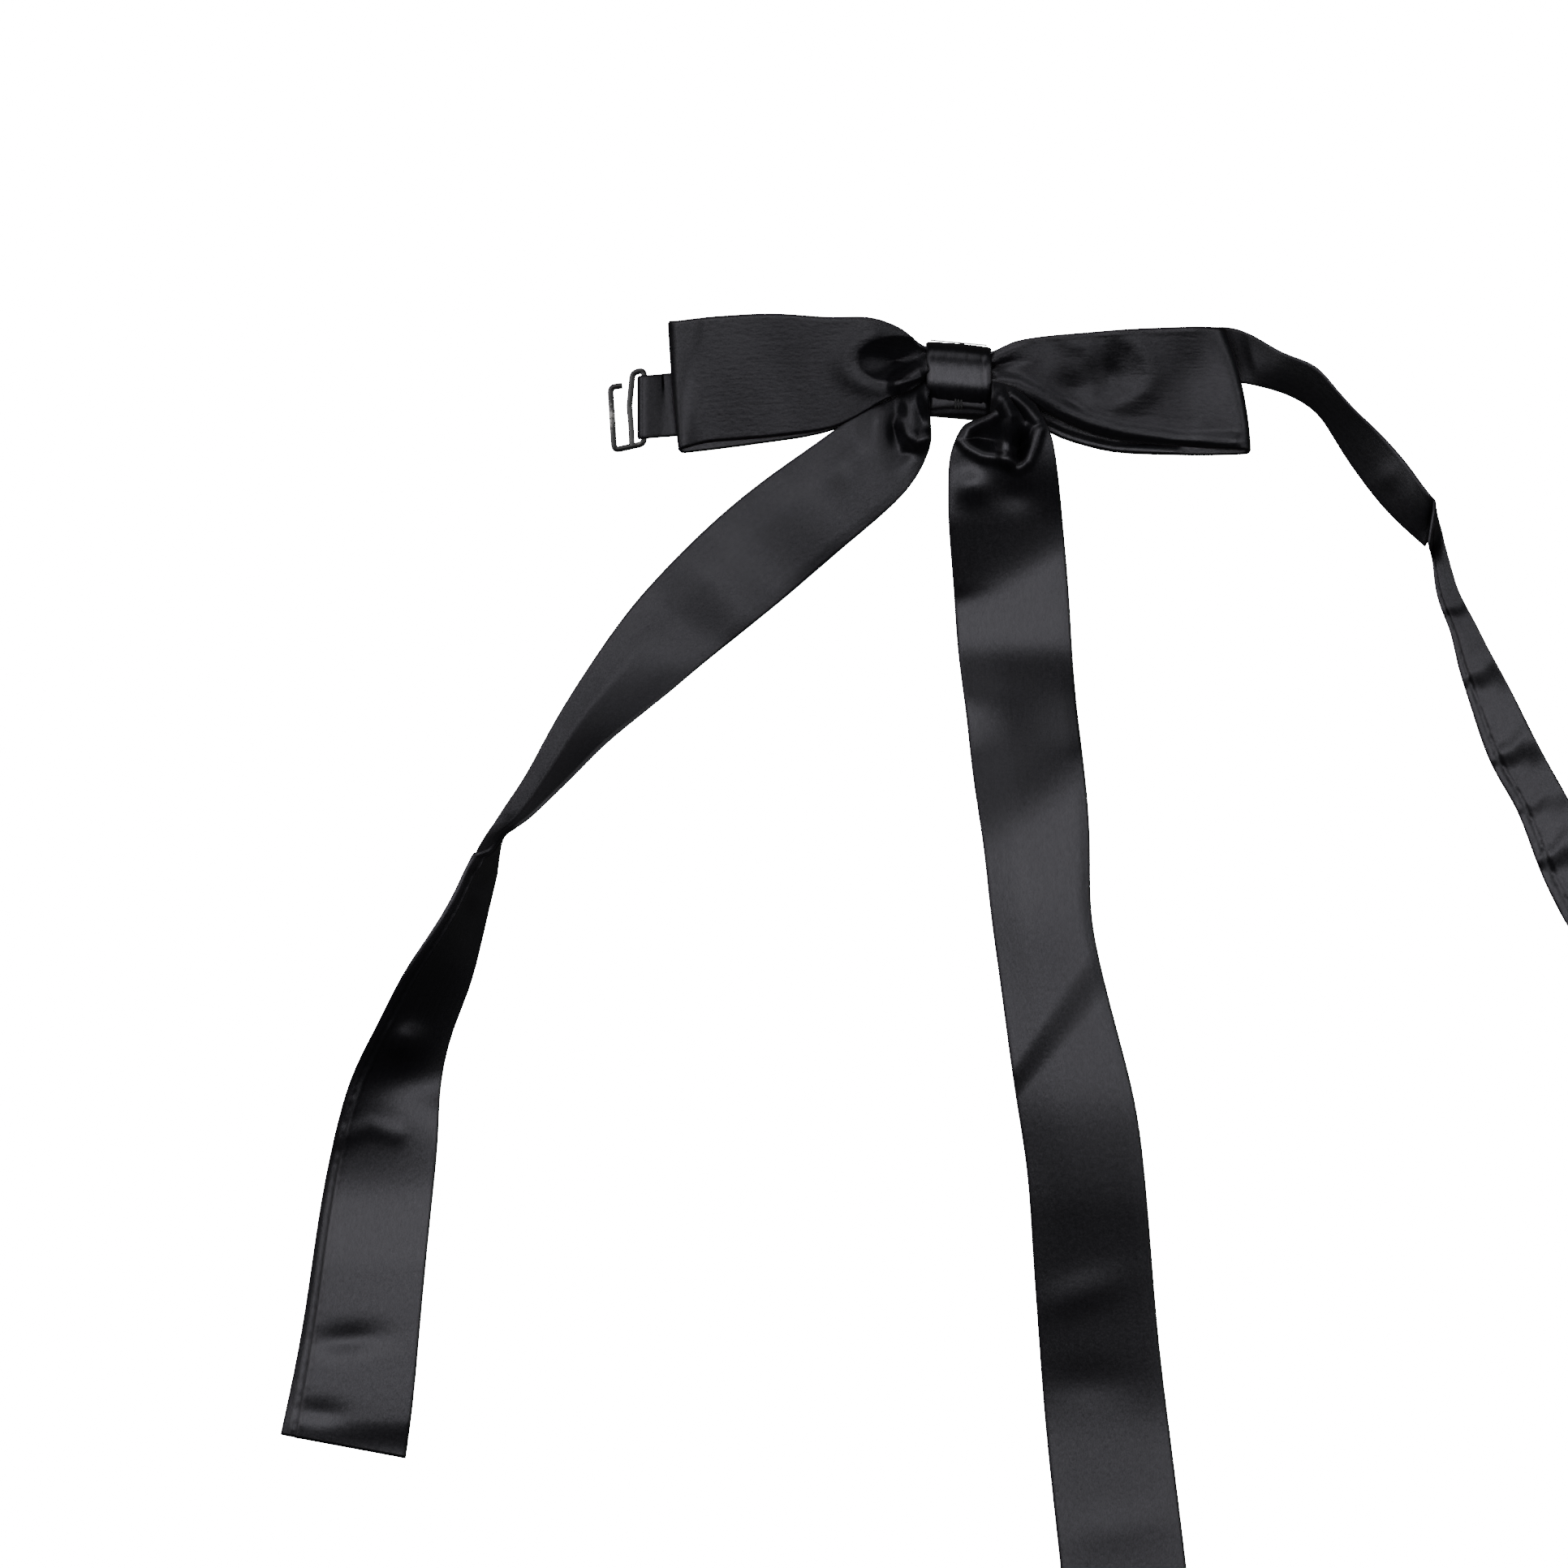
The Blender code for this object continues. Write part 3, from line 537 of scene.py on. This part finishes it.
def knot():
    """The band wrapped over the middle, its long edges rolled in and a few soft pulls across it."""
    outline = [
        (-6.6, 0.5), (0.0, 0.5), (6.8, 0.5), (9.4, 1.8), (10.3, 5.5), (10.0, 9.6), (8.9, 13.0),
        (6.6, 15.0), (2.0, 15.6), (-2.3, 15.1), (-5.2, 12.6), (-7.8, 9.0), (-9.5, 5.2), (-9.1, 1.8),
    ]
    # The loop is cut at the middle of the bottom, where the spline has run past its own start.
    loop = through(outline + outline[:3], 141)
    first = np.argmin(np.hypot(loop[:70, 0], loop[:70, 1] - 0.5))
    last = len(loop) - 1 - np.argmin(np.hypot(loop[70:, 0], loop[70:, 1] - 0.5)[::-1])
    loop = loop[first : last + 1]
    turn = np.linspace(0, 2 * math.pi, len(loop))
    half, columns = 9.1, 41
    v = np.linspace(0, 1, columns)
    x = (v * 2 - 1) * half
    inward = (1 - ease(half - np.abs(x), 0.0, 2.2)) ** 1.6 * 0.75
    centre = np.array([0.0, 7.5])
    grid = np.empty((len(loop), columns, 3))
    for i, (y, z) in enumerate(loop):
        away = np.array([y, z]) - centre
        away /= np.linalg.norm(away)
        top = ease(z, 3.0, 9.0)
        pull = 0.035 * np.sin(x * 2.1 + 0.9 * math.sin(turn[i] * 2)) + 0.02 * np.sin(x * 4.3 + 1.0)
        pull = pull - 0.30 * np.exp(-(((x - 6.6 + 0.25 * math.sin(turn[i] * 3)) / 0.45) ** 2))
        pull = pull - 0.16 * np.exp(-(((x + 7.0) / 0.5) ** 2)) + 0.12 * np.exp(-((x / 3.5) ** 2))
        offset = top * (pull - inward)
        narrow = 1 - 0.05 * ease(-y, 2, 9) * top
        grid[i, :, 0] = x * narrow + 0.3 * ease(-y, 2, 9) * top
        grid[i, :, 1] = y + away[0] * offset - 0.09 * x
        grid[i, :, 2] = np.maximum(z + away[1] * offset, 0.5)
    piece = cloth("knot", grid, 0.9, 2 * half, KNOT)
    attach(piece, "bow")
    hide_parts("knot_band")


# ---------------------------------------------------------------- the tails


def left_tail():
    """The left tail: cupped where it leaves the knot, rolled over half way down, then flat."""
    low = TAIL_THICK / 2

    def lift(x, y, v):
        along = -0.66 * x - 0.75 * y
        z = 8.4 - 1.4 * ease(along, 12, 32) - 0.7 * ease(along, 32, 50) - 2.6 * ease(along, 50, 78)
        z = z - 2.1 * ease(along, 84, 101) - 1.6 * ease(along, 118, 150)
        z = z - 5.4 * mound(x, y, (-17.0, -11.8), (3.0, 6.6), -4)
        z = z + 1.0 * mound(x, y, (-23.5, -13), (3.5, 7), -10)
        z = z - 3.6 * mound(x, y, (-10.9, -8.4), (1.9, 4.6), 8)
        z = z + 2.6 * crease(x, y, [(-16.0, -11.4), (-14.2, -14.6), (-11.4, -16.8), (-9.0, -15.4)], 1.9)
        z = z - 1.8 * mound(x, y, (-14.2, -19.4), (3.6, 1.9), 35)
        z = z + 0.8 * mound(x, y, (-31, -24), (4, 6), -30)
        z = z + 4.0 * mound(x, y, (-153.5, -182), (5.0, 4.5), 40)
        z = z + 3.0 * mound(x, y, (-133, -141), (2.2, 5), -20)
        z = z + 7.5 * (1 - ease(-y, 164, 228)) * ease(-y, 130, 164)
        z = z + 1.2 * ease(-y, 222, 246) * (1 - ease(-y, 287, 297))
        z = z + 0.45 * crease(x, y, [(-172, -209), (-163, -206), (-156, -208)], 2.8)
        z = z - 0.9 * mound(x, y, (-169, -265), (9, 3.6), 6)
        return z - 0.7 * mound(x, y, (-177, -285.5), (7, 3.2), -6)

    grid = rolled(
        [
            (-8.6, 0.8, -8.6, -8.0, 0, 0, 0, 40), (-12.5, -1.8, -8.2, -11.5, 0, 0, 0, 36),
            (-19.5, -5.2, -8.1, -17.5, 0, 0, 0, 26), (-28, -9.0, -11.0, -25.0, 0, 0, 0, 16),
            (-38, -15.6, -17.3, -33.0, 0, 6, -6, 10), (-54, -27, -31.5, -45.4, 0, 8, -8, 7),
            (-68, -38.5, -45, -57.0, 0, 8, -8, 6), (-83, -53.3, -60, -69.3, 4, 4, -8, 6),
            (-93, -65, -73, -79.8, 10, -8, -6, 4), (-101.5, -77, -82, -87.4, 20, -20, -4, 2),
            (-111, -92, -97.5, -99.8, 38, -40, 0, 0), (-116, -101, -105.1, -107.2, 54, -57, 0, 0),
            (-121, -110, -113, -114.9, 68, -72, 0, 0), (-127, -119, -121.5, -122.2, 82, -85, 0, 0),
            (-131, -125.5, -126.4, -126, 92, -62, 6, 0), (-134.5, -131.5, -127.8, -133, 98, -18, 12, 0),
            (-139, -141, -130, -144, 106, 0, 18, 0), (-145, -151, -132.4, -155, 118, 0, 26, 0),
            (-153, -163, -135.4, -167, 134, 0, 34, 4), (-161, -178, -140.4, -181, 152, 0, 40, 6),
            (-168, -192, -143.4, -195, 168, 0, 44, 4), (-172.4, -206.6, -144.2, -209, 180, 0, 46, 0),
            (-176.5, -226, -146, -228.5, 184, 0, 46, 0), (-181.4, -258, -149.2, -262, 185, 0, 42, 0),
            (-185.6, -280, -151.4, -285, 185, 0, 34, 0), (-188.1, -291.6, -153.2, -298.1, 184, 0, 22, 0),
        ],
        420,
        61,
        RIBBON_WIDTH,
        low,
        lift,
    )
    tail("tail_ribbon_left", grid, "left",
         [(0.885, -0.55, 0.6), (0.855, 0.22, 0.7)])


def tail(name, grid, side, seams):
    """Finishes a tail: its cloth is fixed where it lies and stands in for both CAD pieces, the root at the
    bow and the tail's own body.
    """
    piece = cloth(name, grid, TAIL_THICK, RIBBON_WIDTH, RIBBON, seams=seams)
    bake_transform(piece)
    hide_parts(f"tail_{side}_root", f"tail_{side}")


def right_tail():
    """The right tail: pinched into two pockets under the knot, then gently waved to its end."""
    low = TAIL_THICK / 2
    # How high the cloth lies, against its distance from the knot.
    arch = through(
        [(0, 10.4), (17, 9.9), (24, 8.4), (34, 5.4), (42, 3.0), (50, 0.8), (57, 0.0), (71, 0.1),
         (78, 1.2), (93, 6.2), (106, 10.6), (116, 12.8), (126, 13.6), (165, 13.9), (200, 13.7),
         (207, 12.9), (218, 11.0), (236, 7.9), (256, 4.5), (272, 2.0), (284, 0.5), (294, 0.0),
         (370, 0.0)],
        800,
    )
    soft = np.hanning(25) / np.hanning(25).sum()
    arch[:, 1] = np.convolve(np.pad(arch[:, 1], 12, mode="edge"), soft, mode="valid")

    def lift(x, y, v):
        slant = 0.5 * (1 - ease(-y, 55, 70)) * ease(-y, 20, 40)
        slant = slant + 0.7 * ease(-y, 85, 105) * (1 - ease(-y, 140, 165))
        z = np.interp(-y + slant * (x - 16 - 0.05 * (-y)), arch[:, 0], arch[:, 1])
        near = 1 - ease(-y, 20, 34)
        z = z - 5.0 * mound(x, y, (7.4, -15.4), (4.6, 2.9), -10) * near
        z = z - 6.4 * mound(x, y, (17.0, -17.8), (2.3, 4.2), -14) * near
        z = z + 1.5 * crease(x, y, [(10.2, -9.4), (7.4, -11.4), (3.4, -13), (0.6, -15.8), (2.6, -18.0),
                                    (6.6, -20.3), (12.0, -21.2)], 1.3)
        z = z + 1.6 * crease(x, y, [(12.0, -21.2), (15.8, -23.9), (18.8, -22), (20.6, -18), (22.2, -13)], 1.3)
        z = z + 3.4 * crease(x, y, [(11.6, -5), (13.6, -9.6), (13.4, -14), (12.9, -18.0), (14.0, -21.5)], 1.7)
        z = z + 1.6 * crease(x, y, [(14.4, -3.6), (18.9, -7.4), (21.4, -10.5)], 1.2)
        z = z - 1.0 * crease(x, y, [(13.0, -3.4), (16.2, -7.6), (18.0, -10.6)], 0.9)
        z = z + 1.6 * mound(x, y, (3.6, -28.9), (4.2, 4.2)) - 0.8 * mound(x, y, (16, -31), (5, 4))
        below = (-y - 180.5 + 1.18 * (x - 27)) / 1.55
        z = z - 1.2 * ease(below, -3.5 - 0.2 * (x - 14), 3.5) * (1 - ease(-y, 200, 230))
        z = z + 0.5 * mound(x, y, (34, -252), (12, 5), 20) - 0.4 * mound(x, y, (36, -277), (12, 6))
        return z + 0.4 * mound(x, y, (44, -318), (20, 7), 10)

    grid = rolled(
        [
            (9.0, -7.9, 9.0, 0.8, 0, 0, 0, 40), (9.7, -9.4, 13.6, 0.0, 0, 0, 0, 36),
            (6.6, -10.9, 18.6, -2.8, 0, 0, 0, 32), (1.8, -12.0, 22.3, -8.0, 0, 0, 0, 26),
            (-0.6, -15.0, 25.1, -13.3, 0, 0, 0, 20), (-2.4, -20, 26.6, -19, 0, 0, 0, 16),
            (-3.0, -28, 27.8, -27.5, 0, 0, 0, 12), (-2.9, -38, 28.9, -38, 0, 0, 0, 9),
            (-1.5, -56, 30.5, -56, 0, 4, -4, 6), (-0.2, -74, 31.6, -74, 0, 6, -6, 4),
            (2, -92, 33, -92, 0, 8, -8, 4), (4, -110, 35, -110, 0, 8, -10, 5),
            (6.6, -128, 36.2, -128, 0, 8, -12, 6), (8.6, -146, 36.6, -146, 0, 8, -14, 8),
            (11.0, -164, 39.6, -163, 0, 8, -10, 6), (13.4, -182, 44.2, -181, 0, 8, -8, 4),
            (16, -200, 48.6, -199, 0, 8, -6, 4), (18.7, -218, 51.2, -217, 0, 8, -6, 4),
            (20.4, -240, 53.2, -239, 0, 6, -6, 3), (22.2, -265, 55.4, -264, 0, 6, -6, 2),
            (24.2, -290, 58.4, -289, 0, 6, -6, 2), (28, -326, 62.8, -324.5, 0, 6, -6, 0),
            (30.6, -351, 65.6, -349, 0, 4, -4, 0),
        ],
        420,
        61,
        RIBBON_WIDTH,
        low,
        lift,
    )
    tail("tail_ribbon_right", grid, "right",
         [(0.035, 0.12, 0.6)])


# ---------------------------------------------------------------- the neck band


def band():
    """The neck band from its fold round the hook, behind the bow, to the start of the doubled run."""
    low = BAND_THICK / 2
    columns = 31
    v = np.linspace(0, 1, columns)
    bar = HOOK_AXIS
    around = bar.z - low
    path = [(-72.5, low), (-77, low), (-82, low)]
    for angle in np.linspace(0, math.pi, 13):
        path.append((bar.x - around * math.sin(angle), bar.z - around * math.cos(angle)))
    path += [(-84.6, 2.9), (-81.8, 2.1), (-78, 1.75), (-71, 1.6), (-66, 0.9), (-61, low), (-45, low)]
    path += [(-24, low), (-17, 0.9), (-11, 1.8), (0, 1.9), (11, 1.8), (17, 0.9), (24, low), (45, low)]
    path += [(66, low)]
    flat = through(path, 260)
    lean = 0.085
    inner = np.empty((len(flat), columns, 3))
    for i, (x, z) in enumerate(flat):
        width = BAND_WIDTH + (BAND_HOOK_WIDTH - BAND_WIDTH) * ease(-x, 55, 78)
        width = width - 1.5 * (1 - ease(abs(x), 14, 26))
        centre = 1.0 + 0.088 * x + 0.5 * ease(x, 30, 66)
        reach = (v - 0.5) * width
        inner[i, :, 0] = x - lean * reach * (abs(x) < 82)
        inner[i, :, 1] = centre + reach
        inner[i, :, 2] = z

    def lift(x, y, v):
        z = 0.8 + 3.5 * ease(-y, 146, 163) - 0.8 * ease(67 - x, 0, 4)
        z = z + ripple(x, y, (140.2, -62.5), 3.4, 0.8)
        z = z + ripple(x, y, (146.6, -81.6), 5.0, 1.1)
        z = z + ripple(x, y, (154.8, -103.6), 4.6, 1.3)
        z = z + ripple(x, y, (161.3, -117.5), 3.6, 0.5)
        z = z + ripple(x, y, (166.6, -132.4), 4.6, 1.3)
        return z + 0.5 * mound(x, y, (119, -26), (3, 4), -40)

    outer = rolled(
        [
            (67.5, -0.6, 66.2, 14.6, 0, 0, 0, 0), (74.5, 0.1, 74.0, 15.6, 0, 0, 0, 0),
            (79.6, -0.2, 81.2, 13.4, 12, 0, 0, 4), (86.5, -1.8, 89.8, 8.3, 36, 0, 0, 8),
            (93.2, -4.3, 98.6, 4.4, 46, 0, 0, 8), (98.6, -7.8, 104.0, -1.2, 46, 0, 0, 8),
            (102.3, -12.4, 109.2, -7.0, 42, 0, 0, 8), (106.5, -19.3, 114.5, -12.0, 36, 0, 0, 8),
            (112.0, -27.2, 120.0, -17.6, 32, 0, 0, 6), (117.5, -34.1, 125.2, -23.9, 34, 0, 0, 4),
            (123.3, -40.0, 129.0, -29.3, 44, 0, 0, 0), (127.4, -43.7, 130.9, -31.8, 56, 0, 0, -10),
            (129.5, -45.5, 131.9, -34.4, 92, 0, 0, -24), (130.3, -46.2, 133.6, -40.0, 158, 0, 0, -20),
            (131.2, -48.6, 135.3, -46.0, 186, 0, 0, -4), (131.8, -53.4, 137.0, -52.2, 188, 0, 0, 0),
            (133.2, -60.8, 139.2, -58.6, 186, 0, 4, 0), (136.1, -68.4, 142.7, -65.2, 186, 0, 6, 0),
            (138.4, -77.9, 147.2, -74.0, 184, 0, 6, 2), (141.6, -88.4, 152.7, -84.0, 183, 0, 6, 2),
            (147.8, -105.8, 160.4, -99.4, 182, 0, 6, 2), (154.6, -118.1, 167.5, -112.2, 181, 0, 0, 2),
            (160.2, -132.5, 174.6, -126.0, 180, 0, 0, 0), (165.8, -144.9, 181.0, -139.0, 180, 0, 0, 0),
            (171.8, -155.5, 187.4, -150.6, 180, 0, 0, 0), (175.4, -162.0, 191.0, -160.2, 180, 0, 0, 0),
            (176.25, -165.5, 191.75, -165.3, 180, 0, 0, 0), (176.25, -168.0, 191.75, -168.0, 180, 0, 0, 0),
        ],
        420,
        columns,
        BAND_WIDTH,
        low,
        lift,
    )
    grid = np.concatenate([inner, outer])
    piece = cloth("neck_band", grid, BAND_THICK, BAND_WIDTH, BAND, seams=BAND_SEAM)
    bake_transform(piece)
    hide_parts("neck_band_inner", "neck_band_outer")


def run_grid(path, rows, centre_x):
    """A straight stretch of the band seen from the side as (y, z) points."""
    columns = 31
    flat = through(path, rows)
    v = np.linspace(0, 1, columns)
    grid = np.empty((rows, columns, 3))
    grid[:, :, 0] = centre_x + (0.5 - v[None, :]) * BAND_WIDTH
    grid[:, :, 1] = flat[:, :1]
    grid[:, :, 2] = flat[:, 1:]
    return grid


def doubled_end():
    """The straight run to the ring, the bend round it and the end sewn round the slider's bar."""
    low = BAND_THICK / 2
    x = RING_AXIS.x
    top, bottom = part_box("band_run")
    height = (top[2] + bottom[2]) / 2 / MM
    first, last = max(top[1], bottom[1]) / MM, min(top[1], bottom[1]) / MM
    level = [(first + 0.2, height), (first - 40, height), (last, height)]
    run = cloth("band_upper_run", run_grid(level, 90, x), BAND_THICK, BAND_WIDTH, BAND, seams=BAND_SEAM)
    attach(run, "band")
    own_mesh(run)
    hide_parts("band_run")

    slider_low, slider_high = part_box("slider")
    slider_y = (slider_low[1] + slider_high[1]) / 2 / MM
    bar_radius, gap = 0.75, 0.3
    bar_z = BAND_THICK + gap + bar_radius
    reach, ring_reach = bar_z - low, RING_AXIS.z - low
    end = [(slider_y - 13, 1.55), (slider_y - 9, 1.5), (slider_y - 5.5, 1.9), (slider_y - 2.6, 3.0)]
    for angle in np.linspace(0.25, math.pi, 9):
        end.append((slider_y + reach * math.sin(angle), bar_z + reach * math.cos(angle)))
    end += [(slider_y - 6, low), (slider_y - 15, low), (slider_y - 30, low), (RING_AXIS.y + 6, low)]
    for angle in np.linspace(0, 2.9, 9):
        end.append((RING_AXIS.y - ring_reach * math.sin(angle), RING_AXIS.z - ring_reach * math.cos(angle)))
    end += [(RING_AXIS.y + 3.4, height - 0.55), (RING_AXIS.y + 6.8, height - 0.1), (last - 0.15, height)]
    grid = run_grid(end, 260, x)
    piece = cloth("band_end", grid, BAND_THICK, BAND_WIDTH, BAND, seams=BAND_SEAM)
    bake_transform(piece)
    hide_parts("slider_end_band", "band_return", "band_bight")


# ---------------------------------------------------------------- the rest


def gathers(name, node, material, folds, start, end, centre, spread):
    """Cloth bunched up inside the knot: a closed bundle with its folds running along it.

    centre is its (y, z) and spread its half sizes; it swells a little towards both ends.
    """
    rows, around = 24, 96
    angle = np.linspace(0, 2 * math.pi, around, endpoint=False)
    rings = []
    for t in np.linspace(0, 1, rows):
        swell = 1 + 0.06 * (2 * t - 1) ** 2
        fold = 1 - 0.10 * (0.5 + 0.5 * np.cos(folds * angle + 0.5 * math.sin(4 * t)))
        ends = math.sqrt(max(1 - max(abs(2 * t - 1) - 0.9, 0) ** 2 * 70, 0.25))
        x = start + (end - start) * t
        rings.append(np.stack([
            np.full(around, x),
            centre[0] + spread[0] * np.cos(angle) * fold * swell * ends,
            centre[1] + spread[1] * np.sin(angle) * fold * ends,
        ], axis=1))
    points = np.concatenate(rings)
    faces = []
    for i in range(0, (rows - 1) * around, around):
        for j in range(around):
            beside = (j + 1) % around
            faces.append((i + j, i + beside, i + around + beside, i + around + j))
    first, last = len(points), len(points) + 1
    points = np.concatenate([points, [rings[0].mean(axis=0)], [rings[-1].mean(axis=0)]])
    top = (rows - 1) * around
    faces += [(first, (j + 1) % around, j) for j in range(around)]
    faces += [(last, top + j, top + (j + 1) % around) for j in range(around)]
    mesh = bpy.data.meshes.new(name)
    mesh.from_pydata((points * MM).tolist(), [], faces)
    mesh.validate()
    face_up(mesh)
    layer = mesh.uv_layers.new(name="UVMap")
    spots = np.empty(len(mesh.loops), dtype=np.int64)
    mesh.loops.foreach_get("vertex_index", spots)
    across = np.append(np.tile(np.arange(around) / around, rows), [0, 0]) * 0.5
    place = np.stack([points[:, 0] / 100, across], axis=1)
    layer.data.foreach_set("uv", place[spots].ravel())
    mesh.shade_smooth()
    piece = bpy.data.objects.new(name, mesh)
    bpy.context.scene.collection.objects.link(piece)
    mesh.materials.append(material)
    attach(piece, "bow")
    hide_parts(node)


def cores():
    """The bunched loops and tails inside the knot."""
    for name, node, folds in (("gathered_loops", "bow_core", 9), ("gathered_tails", "tail_core", 7)):
        low, high = (np.array(corner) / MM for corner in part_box(node))
        middle, half = (low + high) / 2, (high - low) / 2
        reach = min(half[0], 8.6)
        gathers(name, node, RIBBON, folds, -reach, reach, middle[1:], half[1:] * 0.98)


def repaint():
    """The hard pieces and the threads keep their CAD shapes and get their finishes."""
    looks = {"hook": ENAMEL, "slider": ENAMEL, "eye_ring": ENAMEL, "knot_stitch": THREAD,
             "cinch_thread": THREAD, "hook_end_stitch": THREAD, "slider_end_stitch": THREAD}
    for node, look in looks.items():
        for place in frame["nodes"][node].material_slots:
            place.material = look


def studio():
    """A pale table, broad soft lights overhead and on the collar side, and fills to left and right."""
    size = 6.0
    corners = [(-size, -size, 0), (size, -size, 0), (size, size, 0), (-size, size, 0)]
    mesh = bpy.data.meshes.new("table")
    mesh.from_pydata(corners, [], [(0, 1, 2, 3)])
    floor = bpy.data.objects.new("table", mesh)
    floor.location.z = -0.0002
    bpy.context.scene.collection.objects.link(floor)
    m = Nodes("table_look")
    m.shader.inputs["Base Color"].default_value = (0.86, 0.86, 0.86, 1)
    m.shader.inputs["Roughness"].default_value = 0.8
    m.shader.inputs["Emission Color"].default_value = (1, 1, 1, 1)
    m.shader.inputs["Emission Strength"].default_value = 20.0
    mesh.materials.append(m.material)
    # Only the camera sees the table: it neither lights the cloth nor shows in it.
    floor.visible_glossy = False
    floor.visible_diffuse = False

    def light(name, place, size_x, size_y, power):
        lamp = bpy.data.lights.new(name, "AREA")
        lamp.shape = "RECTANGLE"
        lamp.size, lamp.size_y, lamp.energy = size_x, size_y, power
        made = bpy.data.objects.new(name, lamp)
        made.location = place
        away = Vector(place).normalized()
        level = Vector((0, 1, 0) if away.z > 0.9 else (0, 0, 1)).cross(away).normalized()
        made.rotation_euler = Matrix((level, away.cross(level), away)).transposed().to_euler()
        bpy.context.scene.collection.objects.link(made)

    light("key", (-0.1, -0.01, 2.5), 2.2, 1.04, 31)
    light("collar_side", (-0.4, 2.2, 1.3), 2.6, 1.6, 17)
    light("left_side", (-2.0, 1.0, 1.1), 2.0, 1.5, 12)
    light("left_strip", (-1.8, -0.1, 1.5), 1.2, 0.5, 9)
    light("right_strip", (1.8, 0.1, 1.5), 1.8, 1.0, 13)
    world = bpy.data.worlds.new("studio")
    world.use_nodes = True
    world.node_tree.nodes["Background"].inputs["Color"].default_value = (1, 1, 1, 1)
    world.node_tree.nodes["Background"].inputs["Strength"].default_value = 0.03
    bpy.context.scene.world = world


def camera():
    """Straight above the table, as wide as the part of the tie that it takes in."""
    centre, height, across = (-0.0484, -0.1112), 3.8, 0.4347
    lens = bpy.data.cameras.new("camera")
    lens.sensor_width = 36
    lens.lens = 36 * (height - 0.004) / across
    lens.clip_end = 50
    made = bpy.data.objects.new("camera", lens)
    made.location = (*centre, height)
    bpy.context.scene.collection.objects.link(made)
    bpy.context.scene.camera = made


def main():
    left_wing()
    right_wing()
    knot()
    left_tail()
    right_tail()
    band()
    doubled_end()
    cores()
    repaint()
    studio()
    camera()


main()
